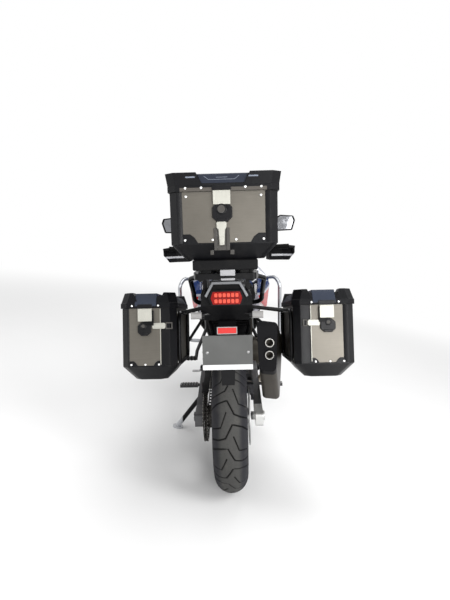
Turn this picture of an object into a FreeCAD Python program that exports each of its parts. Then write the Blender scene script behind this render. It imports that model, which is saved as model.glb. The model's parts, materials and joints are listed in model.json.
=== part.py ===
"""Adventure touring motorcycle with a top case and two side cases, parked on its side stand.

Everything is drawn upright in the motorcycle's own frame: X to the right, Y forward, Z up,
with the origin on the ground below the rear axle. At the end the whole machine leans over onto
its side stand, and its origin goes to the middle of its underside. Millimetres and degrees.
"""
import FreeCAD, Part
import math
import os
from FreeCAD import Vector as V

# Chassis geometry
LEAN = 10.0
WHEELBASE = 1575.0
RAKE = 27.5
TRAIL = 113.0
CLAMP_OFFSET = 34.0
STEER_LOCK = 40.0

# Tyres and rims: bead seat radius, section height, half width, half width between flanges
FRONT_BEAD, FRONT_SECTION, FRONT_HALF, FRONT_RIM_HALF = 266.7, 81.0, 45.0, 30.0
REAR_BEAD, REAR_SECTION, REAR_HALF, REAR_RIM_HALF = 228.6, 105.0, 75.0, 54.0
FRONT_R, REAR_R = FRONT_BEAD + FRONT_SECTION, REAR_BEAD + REAR_SECTION
RIM_DEPTH = 17.0
FLANGE_RISE, FLANGE_T = 7.0, 5.0
HUB_R, HUB_FLANGE_R = 27.0, 44.0
FRONT_HUB_HALF, REAR_HUB_HALF = 45.0, 72.0
SPOKES, SPOKE_R, SPOKE_SWEEP = 36, 2.2, 38.0
AXLE_R, PIN_FIT = 10.0, 0.05
AXLE_BORE = (5.0, 6.0)

# Brakes
FRONT_DISC_R, FRONT_DISC_X = 152.5, 61.0
REAR_DISC_R, REAR_DISC_X = 132.5, 88.0
DISC_T, DISC_BAND, DISC_GAP = 5.0, 32.0, 5.0

# Chain drive
CHAIN_X, CHAIN_PITCH, CHAIN_INNER, CHAIN_PLATE, CHAIN_H = -113.0, 15.875, 9.0, 3.0, 14.0
REAR_TEETH, FRONT_TEETH, SPROCKET_T = 42, 17, 7.0
OUTPUT_Y, OUTPUT_Z = 655.0, 385.0
HEAD_HALF, CASE_HALF = 130.0, 100.0
GUARD_Z = (458.0, 464.0)

# Swing arm
PIVOT_Y, PIVOT_Z = 590.0, 395.0
ARM_LEFT_X, ARM_RIGHT_X, ARM_T, ARM_H = -145.0, 133.0, 36.0, 66.0
PIVOT_PLATE_BACK = 42.0

# Fork
FORK_X, FORK_UPPER_R, FORK_LOWER_R = 105.0, 27.0, 21.5
HEAD_R, STEM_R = 29.0, 15.0
HEAD_LOW, HEAD_LENGTH, CLAMP_T, HEAD_GAP = 925.0, 135.0, 26.0, 1.0
FORK_TOP, FORK_SPLIT = 1105.0, 620.0

# Handlebar
BAR_R, GRIP_R, BAR_BEND, LEVER_R = 12.0, 17.0, 45.0, 6.0

# Cases
TOP_HALF, TOP_BACK, TOP_FRONT = 188.0, -430.0, -30.0
TOP_FLOOR, TOP_BODY_H, TOP_LID_H = 1087.0, 237.0, 64.0
TOP_SEAM = TOP_FLOOR + TOP_BODY_H
TOP_LID_Z = TOP_SEAM + TOP_LID_H
LEFT_CASE, RIGHT_CASE = (-430.0, -210.0), (270.0, 510.0)
SIDE_BACK, SIDE_FRONT = -240.0, 190.0
SIDE_FLOOR, SIDE_BODY_H, SIDE_LID_H = 597.0, 293.0, 64.0
SIDE_SEAM = SIDE_FLOOR + SIDE_BODY_H
SIDE_LID_Z = SIDE_SEAM + SIDE_LID_H
SIDE_TILT, SIDE_TILT_Z = 10.0, 775.0
CASE_WALL, CASE_CHAMFER, LID_OVER, LID_GAP = 4.0, 26.0, 8.0, 0.5
FOOT_RISE, FOOT_INSET = 56.0, 46.0
SOFT_GAP = 0.3
HINGE_R, HINGE_PIN_R, HINGE_OUT = 6.0, 2.5, 15.0

# Side stand
STAND_PIVOT = (-150.0, 480.0, 290.0)
STAND_REACH, STAND_FOOT_Y = -323.0, 525.0
STAND_STOW = (-0.22, -0.95, 0.20)
STAND_R, STAND_FOOT_R, STAND_FOOT_T = 13.0, 30.0, 8.0

# Frame tubes
SPAR_R, DOWN_TUBE_R, RAIL_R, BRACE_R, GUARD_BAR_R, RACK_R = 18.0, 15.0, 12.5, 10.0, 12.5, 8.0

PHI = math.radians(LEAN)
STEER_Y = WHEELBASE + TRAIL
SIN_RAKE, COS_RAKE = math.sin(math.radians(RAKE)), math.cos(math.radians(RAKE))
HEAD_HIGH = HEAD_LOW + HEAD_LENGTH

# Stations: the tables give places along the machine with the foot of the steering head at the
# first value; it stands the second value behind the steering axis's foot on the ground
HEAD_STATION, HEAD_SETBACK = 1225.0, 463.0


def along(station):
    """Place along the machine of a station in the tables, which spread out with the wheelbase."""
    return station * (STEER_Y - HEAD_SETBACK) / HEAD_STATION


def station(place):
    """Station in the tables of a place along the machine."""
    return place * HEAD_STATION / (STEER_Y - HEAD_SETBACK)


def axle_height(radius, crown):
    """Height of an axle in the upright frame, so that the leaning round tyre just touches the ground."""
    return radius - crown + crown / math.cos(PHI)


FRONT_Z = axle_height(FRONT_R, FRONT_HALF)
REAR_Z = axle_height(REAR_R, REAR_HALF)
SPROCKET_R = CHAIN_PITCH / (2 * math.sin(math.pi / REAR_TEETH))
PINION_R = CHAIN_PITCH / (2 * math.sin(math.pi / FRONT_TEETH))
SIDES = (-1, 1)


# Drawing helpers

def rounded(points, radii, closed=True):
    """Wire through the corner points, each turned by a tangent arc of its radius; 0 leaves it sharp."""
    count = len(points)
    if not isinstance(radii, (list, tuple)):
        radii = [radii] * count
    turns = []
    for i, (p, r) in enumerate(zip(points, radii)):
        inner = closed or 0 < i < count - 1
        if not inner or r <= 0:
            turns.append((p, None, p))
            continue
        back = points[i - 1] - p
        ahead = points[(i + 1) % count] - p
        reach = 0.49 * min(back.Length, ahead.Length)
        back.normalize()
        ahead.normalize()
        half = back.getAngle(ahead) / 2
        cut = min(r / math.tan(half), reach)
        r = cut * math.tan(half)
        toward = back + ahead
        toward.normalize()
        middle = p + toward * (r / math.sin(half) - r)
        turns.append((p + back * cut, middle, p + ahead * cut))
    edges = []
    for i, (start, middle, end) in enumerate(turns):
        if middle is not None:
            edges.append(Part.Arc(start, middle, end).toShape())
        if closed or i < count - 1:
            following = turns[(i + 1) % count][0]
            if (following - end).Length > 1e-6:
                edges.append(Part.LineSegment(end, following).toShape())
    return Part.Wire(edges)


def tube(places, radius, bend=40.0):
    """Round bar along straight runs joined by tangent arcs."""
    pts = [V(x, along(y), z) for x, y, z in places]
    path = rounded(pts, bend, closed=False)
    ring = Part.Wire([Part.Circle(pts[0], pts[1] - pts[0], radius).toShape()])
    return path.makePipeShell([ring], True, False)


def rod(start, end, radius):
    start, end = (V(x, along(y), z) for x, y, z in (start, end))
    return Part.makeCylinder(radius, (end - start).Length, start, end - start)


def along_x(radius, x0, x1, y, z):
    return Part.makeCylinder(radius, x1 - x0, V(x0, along(y), z), V(1, 0, 0))


def box(x0, x1, y0, y1, z0, z1):
    return Part.makeBox(x1 - x0, along(y1) - along(y0), z1 - z0, V(x0, along(y0), z0))


def side_plate(yz, x0, x1, radius=0):
    """Outline in the side view, as thick as from x0 to x1."""
    wire = rounded([V(x0, along(y), z) for y, z in yz], radius)
    return Part.Face(wire).extrude(V(x1 - x0, 0, 0))


def rear_plate(xz, y0, y1, radius=0):
    """Outline in the rear view, as thick as from y0 to y1."""
    wire = rounded([V(x, along(y0), z) for x, z in xz], radius)
    return Part.Face(wire).extrude(V(0, along(y1) - along(y0), 0))


def plan_plate(xy, z0, z1, radius=0):
    """Outline in the top view, as thick as from z0 to z1."""
    wire = rounded([V(x, along(y), z0) for x, y in xy], radius)
    return Part.Face(wire).extrude(V(0, 0, z1 - z0))


def mirrored(shape):
    return shape.mirror(V(0, 0, 0), V(1, 0, 0))


def join(shapes):
    shapes = list(shapes)
    return shapes[0].multiFuse(shapes[1:]) if len(shapes) > 1 else shapes[0]


def pair(shape):
    return [shape, mirrored(shape)]


def cut(shape, *tools):
    return shape.cut(list(tools))


def barrel(sections, radius):
    """Body through rear-view sections: y, half width low, half width high, bottom, top."""
    wires = []
    for y, low, high, bottom, top in sections:
        corners = [(-low, bottom), (low, bottom), (high, top), (-high, top)]
        wires.append(rounded([V(x, along(y), z) for x, z in corners], radius))
    return Part.makeLoft(wires, True, True)


def slab(sections, radius):
    """Body on one side through rear-view sections: y, then x and z of four corners in turn."""
    wires = []
    for y, *xz in sections:
        corners = [V(xz[i], along(y), xz[i + 1]) for i in range(0, 8, 2)]
        wires.append(rounded(corners, radius))
    return Part.makeLoft(wires, True, True)


def turned(profile):
    """Ring turned about the X axis from an outline of x and radius."""
    wire = Part.makePolygon([V(x, 0, r) for x, r in profile + profile[:1]])
    return Part.Face(wire).revolve(V(0, 0, 0), V(1, 0, 0), 360)


def moved(shape, x=0.0, y=0.0, z=0.0):
    shape = shape.copy()
    shape.translate(V(x, y, z))
    return shape


def steer_point(x, ahead, up):
    """From steering coordinates, ahead of and up along the steering axis, to x, station and z."""
    y = STEER_Y + ahead * COS_RAKE - up * SIN_RAKE
    return (x, station(y), ahead * SIN_RAKE + up * COS_RAKE)


def steered(shape):
    """A shape drawn about the Z axis, laid onto the steering axis."""
    shape = shape.copy()
    shape.rotate(V(0, 0, 0), V(1, 0, 0), RAKE)
    shape.translate(V(0, STEER_Y, 0))
    return shape


AXLE_AHEAD = (WHEELBASE - STEER_Y) * COS_RAKE + FRONT_Z * SIN_RAKE
AXLE_UP = -(WHEELBASE - STEER_Y) * SIN_RAKE + FRONT_Z * COS_RAKE


# Wheels

def tyre(radius, half, bead, rim_half):
    """Round-crowned tyre: the crown is a half circle, the walls lean in to the rim flanges."""
    crown_z = radius - half
    lip = bead + FLANGE_RISE
    edges = [
        Part.LineSegment(V(-rim_half, 0, bead), V(-rim_half, 0, lip)),
        Part.LineSegment(V(-rim_half, 0, lip), V(-rim_half - FLANGE_T, 0, lip)),
        Part.LineSegment(V(-rim_half - FLANGE_T, 0, lip), V(-half, 0, crown_z)),
        Part.Arc(V(-half, 0, crown_z), V(0, 0, radius), V(half, 0, crown_z)),
        Part.LineSegment(V(half, 0, crown_z), V(rim_half + FLANGE_T, 0, lip)),
        Part.LineSegment(V(rim_half + FLANGE_T, 0, lip), V(rim_half, 0, lip)),
        Part.LineSegment(V(rim_half, 0, lip), V(rim_half, 0, bead)),
        Part.LineSegment(V(rim_half, 0, bead), V(-rim_half, 0, bead)),
    ]
    face = Part.Face(Part.Wire([e.toShape() for e in edges]))
    return face.revolve(V(0, 0, 0), V(1, 0, 0), 360)


def wire_wheel(bead, rim_half, hub_half):
    """Rim with its flanges, a flanged hub and two crossed rows of spokes."""
    outer = rim_half + FLANGE_T
    inner = bead - RIM_DEPTH
    rim = turned([
        (-outer, inner + 6), (-outer, bead + FLANGE_RISE), (-rim_half, bead + FLANGE_RISE),
        (-rim_half, bead), (rim_half, bead), (rim_half, bead + FLANGE_RISE),
        (outer, bead + FLANGE_RISE), (outer, inner + 6), (rim_half - 12, inner), (12 - rim_half, inner),
    ])
    flange = hub_half - 10
    hub = turned([
        (-hub_half, AXLE_R + PIN_FIT), (-hub_half, HUB_R), (-flange - 6, HUB_R),
        (-flange - 6, HUB_FLANGE_R), (-flange, HUB_FLANGE_R), (4 - flange, HUB_R),
        (flange - 4, HUB_R), (flange, HUB_FLANGE_R), (flange + 6, HUB_FLANGE_R),
        (flange + 6, HUB_R), (hub_half, HUB_R), (hub_half, AXLE_R + PIN_FIT),
    ])
    spokes = []
    for i in range(SPOKES):
        side = 1 if i % 2 else -1
        lead = SPOKE_SWEEP if (i // 2) % 2 else -SPOKE_SWEEP
        at_rim = math.radians(360.0 * i / SPOKES)
        at_hub = at_rim + math.radians(lead)
        root = HUB_FLANGE_R - 5
        start = V(side * (flange + 2), root * math.cos(at_hub), root * math.sin(at_hub))
        top = inner + 3
        end = V(side * 6.0, top * math.cos(at_rim), top * math.sin(at_rim))
        run = end - start
        across = run.cross(V(1, 0, 0))
        across.normalize()
        beside = run.cross(across)
        beside.normalize()
        corners = []
        for k in range(7):
            a = math.pi / 3 * k
            corners.append(start + across * (SPOKE_R * math.cos(a)) + beside * (SPOKE_R * math.sin(a)))
        spokes.append(Part.Face(Part.makePolygon(corners)).extrude(run))
    return join([rim, hub] + spokes)


def disc(radius, centre_x, hub_half, inside):
    """Brake ring on a spider of arms that reaches in to the hub's end."""
    x0 = centre_x - DISC_T / 2
    ring = cut(along_x(radius, x0, x0 + DISC_T, 0, 0), along_x(radius - DISC_BAND, x0 - 1, x0 + 9, 0, 0))
    carrier = along_x(inside + 14, x0, x0 + DISC_T, 0, 0)
    arms = []
    for k in range(6):
        arm = box(x0, x0 + DISC_T, -9, 9, inside, radius - DISC_BAND + 4)
        arm.rotate(V(0, 0, 0), V(1, 0, 0), 60 * k)
        arms.append(arm)
    return cut(join([ring, carrier] + arms), along_x(inside, x0 - 1, x0 + 9, 0, 0))


def sprocket():
    """Toothed driven sprocket with lightening windows."""
    x0 = CHAIN_X - SPROCKET_T / 2
    root, tip = SPROCKET_R - 5, SPROCKET_R + 5
    outline = []
    for i in range(REAR_TEETH):
        for share, r in ((0.0, root), (0.22, root), (0.42, tip), (0.58, tip), (0.78, root)):
            a = 2 * math.pi * (i + share) / REAR_TEETH
            outline.append(V(x0, r * math.cos(a), r * math.sin(a)))
    wire = Part.makePolygon(outline[1:] + outline[:2])
    plate = Part.Face(wire).extrude(V(SPROCKET_T, 0, 0))
    windows = []
    for k in range(6):
        a = math.radians(60 * k)
        r = 0.66 * SPROCKET_R
        y, z = r * math.cos(a), r * math.sin(a)
        windows.append(along_x(19, x0 - 1, x0 + SPROCKET_T + 1, station(y), z))
    carrier = along_x(52, x0 + SPROCKET_T, -REAR_HUB_HALF, 0, 0)
    bore = along_x(HUB_R, x0 - 1, 0, 0, 0)
    return cut(join([plate, carrier]), bore, *windows)


def at_front_axle(shape):
    return moved(shape, 0, WHEELBASE, FRONT_Z)


def at_rear_axle(shape):
    return moved(shape, 0, 0, REAR_Z)


def front_tyre():
    return at_front_axle(tyre(FRONT_R, FRONT_HALF, FRONT_BEAD, FRONT_RIM_HALF))


def rear_tyre():
    return at_rear_axle(tyre(REAR_R, REAR_HALF, REAR_BEAD, REAR_RIM_HALF))


def front_rim():
    return at_front_axle(wire_wheel(FRONT_BEAD, FRONT_RIM_HALF, FRONT_HUB_HALF))


def rear_rim():
    return at_rear_axle(wire_wheel(REAR_BEAD, REAR_RIM_HALF, REAR_HUB_HALF))


def front_discs():
    one = disc(FRONT_DISC_R, FRONT_DISC_X, FRONT_HUB_HALF, HUB_R - 2)
    seat = turned([(FRONT_HUB_HALF, AXLE_R + 4), (FRONT_HUB_HALF, HUB_R + 10),
                   (FRONT_DISC_X - DISC_T / 2, HUB_R + 10), (FRONT_DISC_X - DISC_T / 2, AXLE_R + 4)])
    return Part.Compound([at_front_axle(s) for s in pair(join([one, seat]))])


def rear_disc():
    one = disc(REAR_DISC_R, REAR_DISC_X, REAR_HUB_HALF, HUB_R - 2)
    seat = turned([(REAR_HUB_HALF, AXLE_R + 4), (REAR_HUB_HALF, HUB_R + 10),
                   (REAR_DISC_X - DISC_T / 2, HUB_R + 10), (REAR_DISC_X - DISC_T / 2, AXLE_R + 4)])
    return at_rear_axle(join([one, seat]))


def rear_sprocket():
    return at_rear_axle(sprocket())


# Chain

def chain_path():
    """Tangent lines of the chain's loop: upper front and rear points, lower front and rear points."""
    gap_y, gap_z = along(OUTPUT_Y), OUTPUT_Z - REAR_Z
    span = math.hypot(gap_y, gap_z)
    slope = math.atan2(gap_z, gap_y)
    tilt = math.asin((SPROCKET_R - PINION_R) / span)
    return slope, tilt


def loop_band(grow, x0, x1):
    """Closed band outline around both sprockets, grown outward from the chain's pitch line."""
    slope, tilt = chain_path()
    big, small = SPROCKET_R + grow, PINION_R + grow
    up, down = slope + math.pi / 2 - tilt, slope - math.pi / 2 + tilt

    def at(r, a, y, z):
        return V(x0, y + r * math.cos(a), z + r * math.sin(a))

    a0, a1 = at(big, up, 0, REAR_Z), at(big, down, 0, REAR_Z)
    output = along(OUTPUT_Y)
    b0, b1 = at(small, up, output, OUTPUT_Z), at(small, down, output, OUTPUT_Z)
    rear, nose = at(big, slope + math.pi, 0, REAR_Z), at(small, slope, output, OUTPUT_Z)
    wire = Part.Wire([
        Part.Arc(a1, rear, a0).toShape(), Part.LineSegment(a0, b0).toShape(),
        Part.Arc(b0, nose, b1).toShape(), Part.LineSegment(b1, a1).toShape(),
    ])
    return Part.Face(wire).extrude(V(x1 - x0, 0, 0))


def drive_chain():
    """Two rows of side plates around both sprockets, with rollers between them on the free runs."""
    rows = []
    half = CHAIN_INNER / 2
    for side in SIDES:
        near, far = sorted((CHAIN_X + side * half, CHAIN_X + side * (half + CHAIN_PLATE)))
        rows.append(cut(loop_band(CHAIN_H / 2, near, far), loop_band(-CHAIN_H / 2, near - 1, far + 1)))
    slope, tilt = chain_path()
    rollers = []
    for turn in (slope + math.pi / 2 - tilt, slope - math.pi / 2 + tilt):
        start = V(0, SPROCKET_R * math.cos(turn), REAR_Z + SPROCKET_R * math.sin(turn))
        end = V(0, along(OUTPUT_Y) + PINION_R * math.cos(turn), OUTPUT_Z + PINION_R * math.sin(turn))
        run = end - start
        count = int(run.Length / CHAIN_PITCH)
        run.normalize()
        for k in range(3, count + 1, 2):
            at = start + run * (k * CHAIN_PITCH)
            rollers.append(along_x(4.5, CHAIN_X - half - 1, CHAIN_X + half + 1, station(at.y), at.z))
    return join(rows + rollers)


# Swing arm, its chain guard, caliper and shock

def arm_outline(grow=0.0):
    h = ARM_H / 2 + grow
    return [(PIVOT_Y + 34, PIVOT_Z - h), (PIVOT_Y + 34, PIVOT_Z + h), (PIVOT_Y - 160, PIVOT_Z + h + 6),
            (60, REAR_Z + 34), (-58, REAR_Z + 30), (-58, REAR_Z - 30), (60, REAR_Z - 34),
            (PIVOT_Y - 160, PIVOT_Z - h - 4)]


def bridge_at(share, z):
    """A point of the arms' bridge, between the rear tyre and the frame's pivot plates."""
    tyre = station(REAR_R)
    return (tyre + share * (PIVOT_Y - PIVOT_PLATE_BACK - tyre), z)


SHOCK_EYE = (0.552, 418)


def swing_arm():
    """Two box arms joined ahead of the wheel, with axle adjusters and the hollow rear axle."""
    arms = []
    for x in (ARM_LEFT_X, ARM_RIGHT_X):
        arms.append(side_plate(arm_outline(), x - ARM_T / 2, x + ARM_T / 2, 12))
    corners = [bridge_at(share, z) for share, z in ((0.31, 368), (0.31, 414), (0.776, 418), (0.776, 362))]
    bridge = side_plate(corners, ARM_LEFT_X + ARM_T / 2 - 1, ARM_RIGHT_X - ARM_T / 2 + 1, 10)
    link = along_x(12, -40, 40, *bridge_at(*SHOCK_EYE))
    axle = along_x(AXLE_R, ARM_LEFT_X, ARM_RIGHT_X, 0, REAR_Z)
    ends = [along_x(22, ARM_RIGHT_X + ARM_T / 2 - 2, ARM_RIGHT_X + ARM_T / 2 + 7, 0, REAR_Z),
            along_x(22, ARM_LEFT_X - ARM_T / 2 - 7, ARM_LEFT_X - ARM_T / 2 + 2, 0, REAR_Z)]
    spacers = [along_x(19, REAR_DISC_X + DISC_T / 2 + 6, ARM_RIGHT_X - ARM_T / 2, 0, REAR_Z)]
    bosses = [along_x(24, ARM_LEFT_X, -PIVOT_PLATE[1], PIVOT_Y, PIVOT_Z),
              along_x(24, PIVOT_PLATE[1], ARM_RIGHT_X, PIVOT_Y, PIVOT_Z)]
    body = join(arms + [bridge, link, axle] + ends + spacers + bosses)
    pivot = along_x(12 + PIN_FIT, -200, 200, PIVOT_Y, PIVOT_Z)
    window = [(440, 380), (440, 412), (300, 398), (300, 372)]
    windows = [side_plate(window, x - 40, x + 40, 8) for x in (ARM_LEFT_X, ARM_RIGHT_X)]
    bore = along_x(AXLE_BORE[1], ARM_LEFT_X - 60, ARM_RIGHT_X + 60, 0, REAR_Z)
    return cut(body, pivot, bore, *windows)


def chain_guard():
    """Thin guard over the upper chain run, on feet on the left arm."""
    inner, outer = CHAIN_X + 14, CHAIN_X - 16
    low, high = GUARD_Z
    outline = [(480, low), (480, high), (60, high + 4), (-20, high - 2), (-20, low - 3), (60, low + 1)]
    cover = side_plate(outline, outer, inner, 2)
    feet = [box(outer - 6, outer + 1, y, y + 24, PIVOT_Z, high) for y in (320, 90)]
    return join([cover] + feet)


def rear_shock():
    """Damper leaning forward, with its spring as a row of turns, above the arms' bridge."""
    eyes = (bridge_at(*SHOCK_EYE), (520, 690))
    low, high = (V(0, along(y), z) for y, z in eyes)
    run = high - low
    length = run.Length
    damper = [Part.makeCylinder(14, length - 30, V(0, 0, 15)),
              Part.makeCylinder(26, 60, V(0, 0, length - 92))]
    seats = [Part.makeCylinder(36, 8, V(0, 0, 34)), Part.makeCylinder(36, 8, V(0, 0, length - 70))]
    coils = []
    steps = 6
    for k in range(steps):
        at = 52 + k * (length - 142) / (steps - 1)
        coils.append(Part.makeTorus(30, 6, V(0, 0, at)))
    ribs = [Part.makeBox(64, 6, length - 112, V(-32, -3, 40))]
    body = join(damper + seats + coils + ribs)
    body.rotate(V(0, 0, 0), V(1, 0, 0), -math.degrees(math.atan2(run.y, run.z)))
    body = moved(body, low.x, low.y, low.z)
    bushes = [along_x(20, -16, 16, *eyes[0]), along_x(18, -16, 16, *eyes[1])]
    return cut(join([body] + bushes), along_x(12, -60, 60, *eyes[0]))


def rear_caliper():
    """Caliper over the top of the rear disc, on a bracket on the right arm."""
    x = REAR_DISC_X
    body = side_plate([(70, REAR_Z + 72), (150, REAR_Z + 62), (156, REAR_Z + 108), (84, REAR_Z + 132)],
                      x - 22, x + 24, 10)
    slot = along_x(REAR_DISC_R + DISC_GAP, x - DISC_T / 2 - DISC_GAP, x + DISC_T / 2 + DISC_GAP, 0, REAR_Z)
    bracket = box(x + 12, ARM_RIGHT_X - ARM_T / 2, 96, 130, REAR_Z + 40, REAR_Z + 66)
    return join([cut(body, slot), cut(bracket, slot)])


# Frame

PIVOT_PLATE = (84.0, 96.0)
SPAR = [(26, 1222, 905), (40, 1150, 890), (150, 1060, 850), (150, 800, 690), (96, 606, 560), (90, 596, 480)]
DOWN_TUBE = [(26, 1226, 876), (72, 1150, 800), (86, 1116, 700), (88, 1092, 500), (88, 1014, 372)]
RAIL = [(138, 752, 664), (114, 600, 716), (112, 300, 796), (96, -60, 862), (90, -250, 895)]
RAIL_BRACE = [(90, 592, 520), (118, 320, 690), (104, 60, 838)]


def main_frame():
    """Steering head, two spars to the swing arm's pivot, two down tubes and cross tubes."""
    tubes = []
    for side in SIDES:
        tubes.append(tube([(side * x, y, z) for x, y, z in SPAR], SPAR_R, 60))
        tubes.append(tube([(side * x, y, z) for x, y, z in DOWN_TUBE], DOWN_TUBE_R, 60))
        near, far = sorted((side * PIVOT_PLATE[0], side * PIVOT_PLATE[1]))
        back, front = PIVOT_Y - PIVOT_PLATE_BACK, PIVOT_Y + 26
        outline = [(front, 290), (front, 560), (back + 18, 560), (back, 430), (back + 4, 290)]
        plate = side_plate(outline, near, far, 14)
        tubes.append(plate)
        near, far = sorted((side * HEAD_HALF, side * 150))
        tubes.append(along_x(14, near, far, 900, 740))
    head = steered(Part.makeCylinder(HEAD_R, HEAD_HIGH - HEAD_LOW, V(0, 0, HEAD_LOW)))
    cross = [rod((-94, 600, 545), (94, 600, 545), 14), rod((-150, 1000, 804), (150, 1000, 804), 12),
             rod((-88, 1030, 372), (88, 1030, 372), 11)]
    pivot = along_x(12, ARM_LEFT_X - ARM_T / 2 - 12, ARM_RIGHT_X + ARM_T / 2 + 12, PIVOT_Y, PIVOT_Z)
    heads = [along_x(20, ARM_LEFT_X - ARM_T / 2 - 14, ARM_LEFT_X - ARM_T / 2 - 4, PIVOT_Y, PIVOT_Z),
             along_x(20, ARM_RIGHT_X + ARM_T / 2 + 4, ARM_RIGHT_X + ARM_T / 2 + 14, PIVOT_Y, PIVOT_Z)]
    ears = [side_plate([(586, 534), (626, 552), (545, 716), (502, 700)], *sorted((s * 17, s * 25)), 8)
            for s in SIDES]
    ears.append(along_x(8, -25, 25, 520, 690))
    stay = side_plate([(1240, 870), (1240, 904), (1398, 956), (1398, 924)], -20, 20)
    lug = stand_lug()
    body = join(tubes + [head, lug, pivot] + cross + heads + ears + [stay])
    bore = steered(Part.makeCylinder(STEM_R + PIN_FIT, 400, V(0, 0, HEAD_LOW - 100)))
    return cut(body, bore)


def stand_vectors():
    """Pivot, foot on the ground and the unit hinge axis that stows the leg."""
    x, y, z = STAND_PIVOT
    pivot = V(x, along(y), z)
    foot = V(STAND_REACH, along(STAND_FOOT_Y), -STAND_REACH * math.tan(PHI))
    down = foot - pivot
    stow = V(*STAND_STOW)
    angle = math.degrees(down.getAngle(stow))
    axis = down.cross(stow)
    axis.normalize()
    return pivot, foot, axis, angle


def stand_lug():
    """Forked lug below the left pivot plate, which carries the side stand on its pin."""
    pivot, _, axis, _ = stand_vectors()
    side = V(axis.x, axis.y, axis.z)
    cheeks = []
    for shift in (-17, 11):
        cheeks.append(Part.makeCylinder(19, 6, pivot + side * shift, side))
    inner = pivot + side * 14
    arm = rod((-90, PIVOT_Y - 24, 302), (inner.x, station(inner.y) + 6, inner.z), 12)
    room = Part.makeCylinder(40, 21, pivot - side * 10.5, side)
    pin = Part.makeCylinder(7, 34, pivot - side * 17, side)
    return join([cut(join(cheeks + [arm]), room), pin])


def side_stand():
    """Leg with its eye on the pin and a foot plate that lies flat on the ground."""
    pivot, foot, axis, _ = stand_vectors()
    up = V(math.sin(PHI), 0, math.cos(PHI))
    eye = Part.makeCylinder(17, 20, pivot - axis * 10, axis)
    leg_end = foot + up * (STAND_FOOT_T + 2)
    run = leg_end - pivot
    run.normalize()
    leg = Part.makeCylinder(STAND_R, (leg_end - pivot).Length - 24, pivot + run * 24, run)
    within = Part.makeCylinder(60, 20, pivot - axis * 10, axis)
    root = Part.makeCylinder(STAND_R, 30, pivot, run).common(within)
    pad = Part.makeCylinder(STAND_FOOT_R, STAND_FOOT_T, foot, up)
    bore = Part.makeCylinder(7 + PIN_FIT, 60, pivot - axis * 30, axis)
    return cut(join([eye, root, leg, pad]), bore)


def subframe():
    """Two rails and two braces that carry the seat, tail and cases."""
    tubes = []
    for side in SIDES:
        tubes.append(tube([(side * x, y, z) for x, y, z in RAIL], RAIL_R, 80))
        tubes.append(tube([(side * x, y, z) for x, y, z in RAIL_BRACE], BRACE_R, 60))
    cross = [rod((-112, y, z), (112, y, z), 9) for y, z in ((480, 748), (330, 788))]
    posts = [rod((s * 60, 480, 748), (s * 60, 480, rider_base(490) - SOFT_GAP), 10) for s in SIDES]
    return join(tubes + cross + posts + [rod((-94, -120, 873), (94, -120, 873), 9)])


# Engine and exhaust

def engine():
    """Parallel twin: crankcase, inclined cylinders and head, side covers and a finned filter."""
    outline = [(646, 360), (626, 470), (700, 560), (1000, 560), (1030, 470), (1000, 340), (900, 320),
               (700, 320)]
    case = side_plate(outline, -CASE_HALF, CASE_HALF, 26)
    block = side_plate([(770, 550), (800, 700), (1010, 700), (990, 550)], -122, 122, 8)
    head = side_plate([(785, 690), (795, 752), (830, 786), (985, 786), (1016, 752), (1016, 690)],
                      -HEAD_HALF, HEAD_HALF, 14)
    covers = [along_x(96, 98, 176, 800, 440), along_x(82, -180, -98, 860, 430),
              along_x(42, 98, 150, 950, 470), along_x(30, -160, -98, 740, 500)]
    fins = [box(-126, 126, 776, 1004, z, z + 5) for z in (580, 598, 616, 634, 652)]
    filt = rod((0, 1000, 432), (0, 1072, 432), 32)
    return join([case, block, head, filt] + covers + fins)


def radiators():
    """A radiator on each side, outside the down tubes, each a core between two tanks."""
    cores = []
    for s in SIDES:
        near, far = sorted((s * 116, s * 156))
        core = side_plate([(1084, 620), (1112, 612), (1160, 780), (1132, 788)], near, far, 3)
        tanks = [side_plate([(1078, 606), (1110, 598), (1168, 794), (1136, 802)], s * x - 7, s * x + 7, 5)
                 for x in (110, 162)]
        lugs = [rod((s * 77, 1137, 760), (s * 110, 1140, 752), 7),
                rod((s * 86, 1110, 640), (s * 110, 1104, 640), 7),
                rod((s * 160, 1120, 720), (s * 194, 1120, 720), 9)]
        cores.append(join([core] + tanks + lugs))
    return Part.Compound(cores)


HEADER = [(45, 1008, 640), (47, 1070, 615), (48, 1100, 520), (46, 1095, 350), (45, 1040, 294),
          (45, 690, 294)]


def exhaust_pipes():
    """Two headers down the front and under the engine, joined and led up to the silencer."""
    pipes = [tube([(s * x, y, z) for x, y, z in HEADER], 19, 55) for s in SIDES]
    joiner = tube([(-60, 680, 294), (100, 680, 294), (172, 640, 305), (190, 540, 350), (184, 400, 430),
                   (176, 310, 500)], 23, 60)
    return join(pipes + [joiner])


# Silencer by section: y, then x and z of its inner low, outer low, outer high and inner high corners
SILENCER = [
    (-160, 126, 640, 198, 634, 209, 812, 120, 826),
    (60, 156, 398, 236, 388, 253, 700, 134, 724),
    (250, 160, 404, 242, 398, 252, 616, 146, 640),
    (330, 164, 440, 226, 436, 232, 516, 158, 522),
]
SILENCER_END = [(400, 300), (-60, 300), (-112, 596), (-148, 790), (-120, 850), (400, 850)]
OUTLET_X, OUTLET_R, OUTLET_WALL = 176.0, 18.5, 2.5


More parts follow.
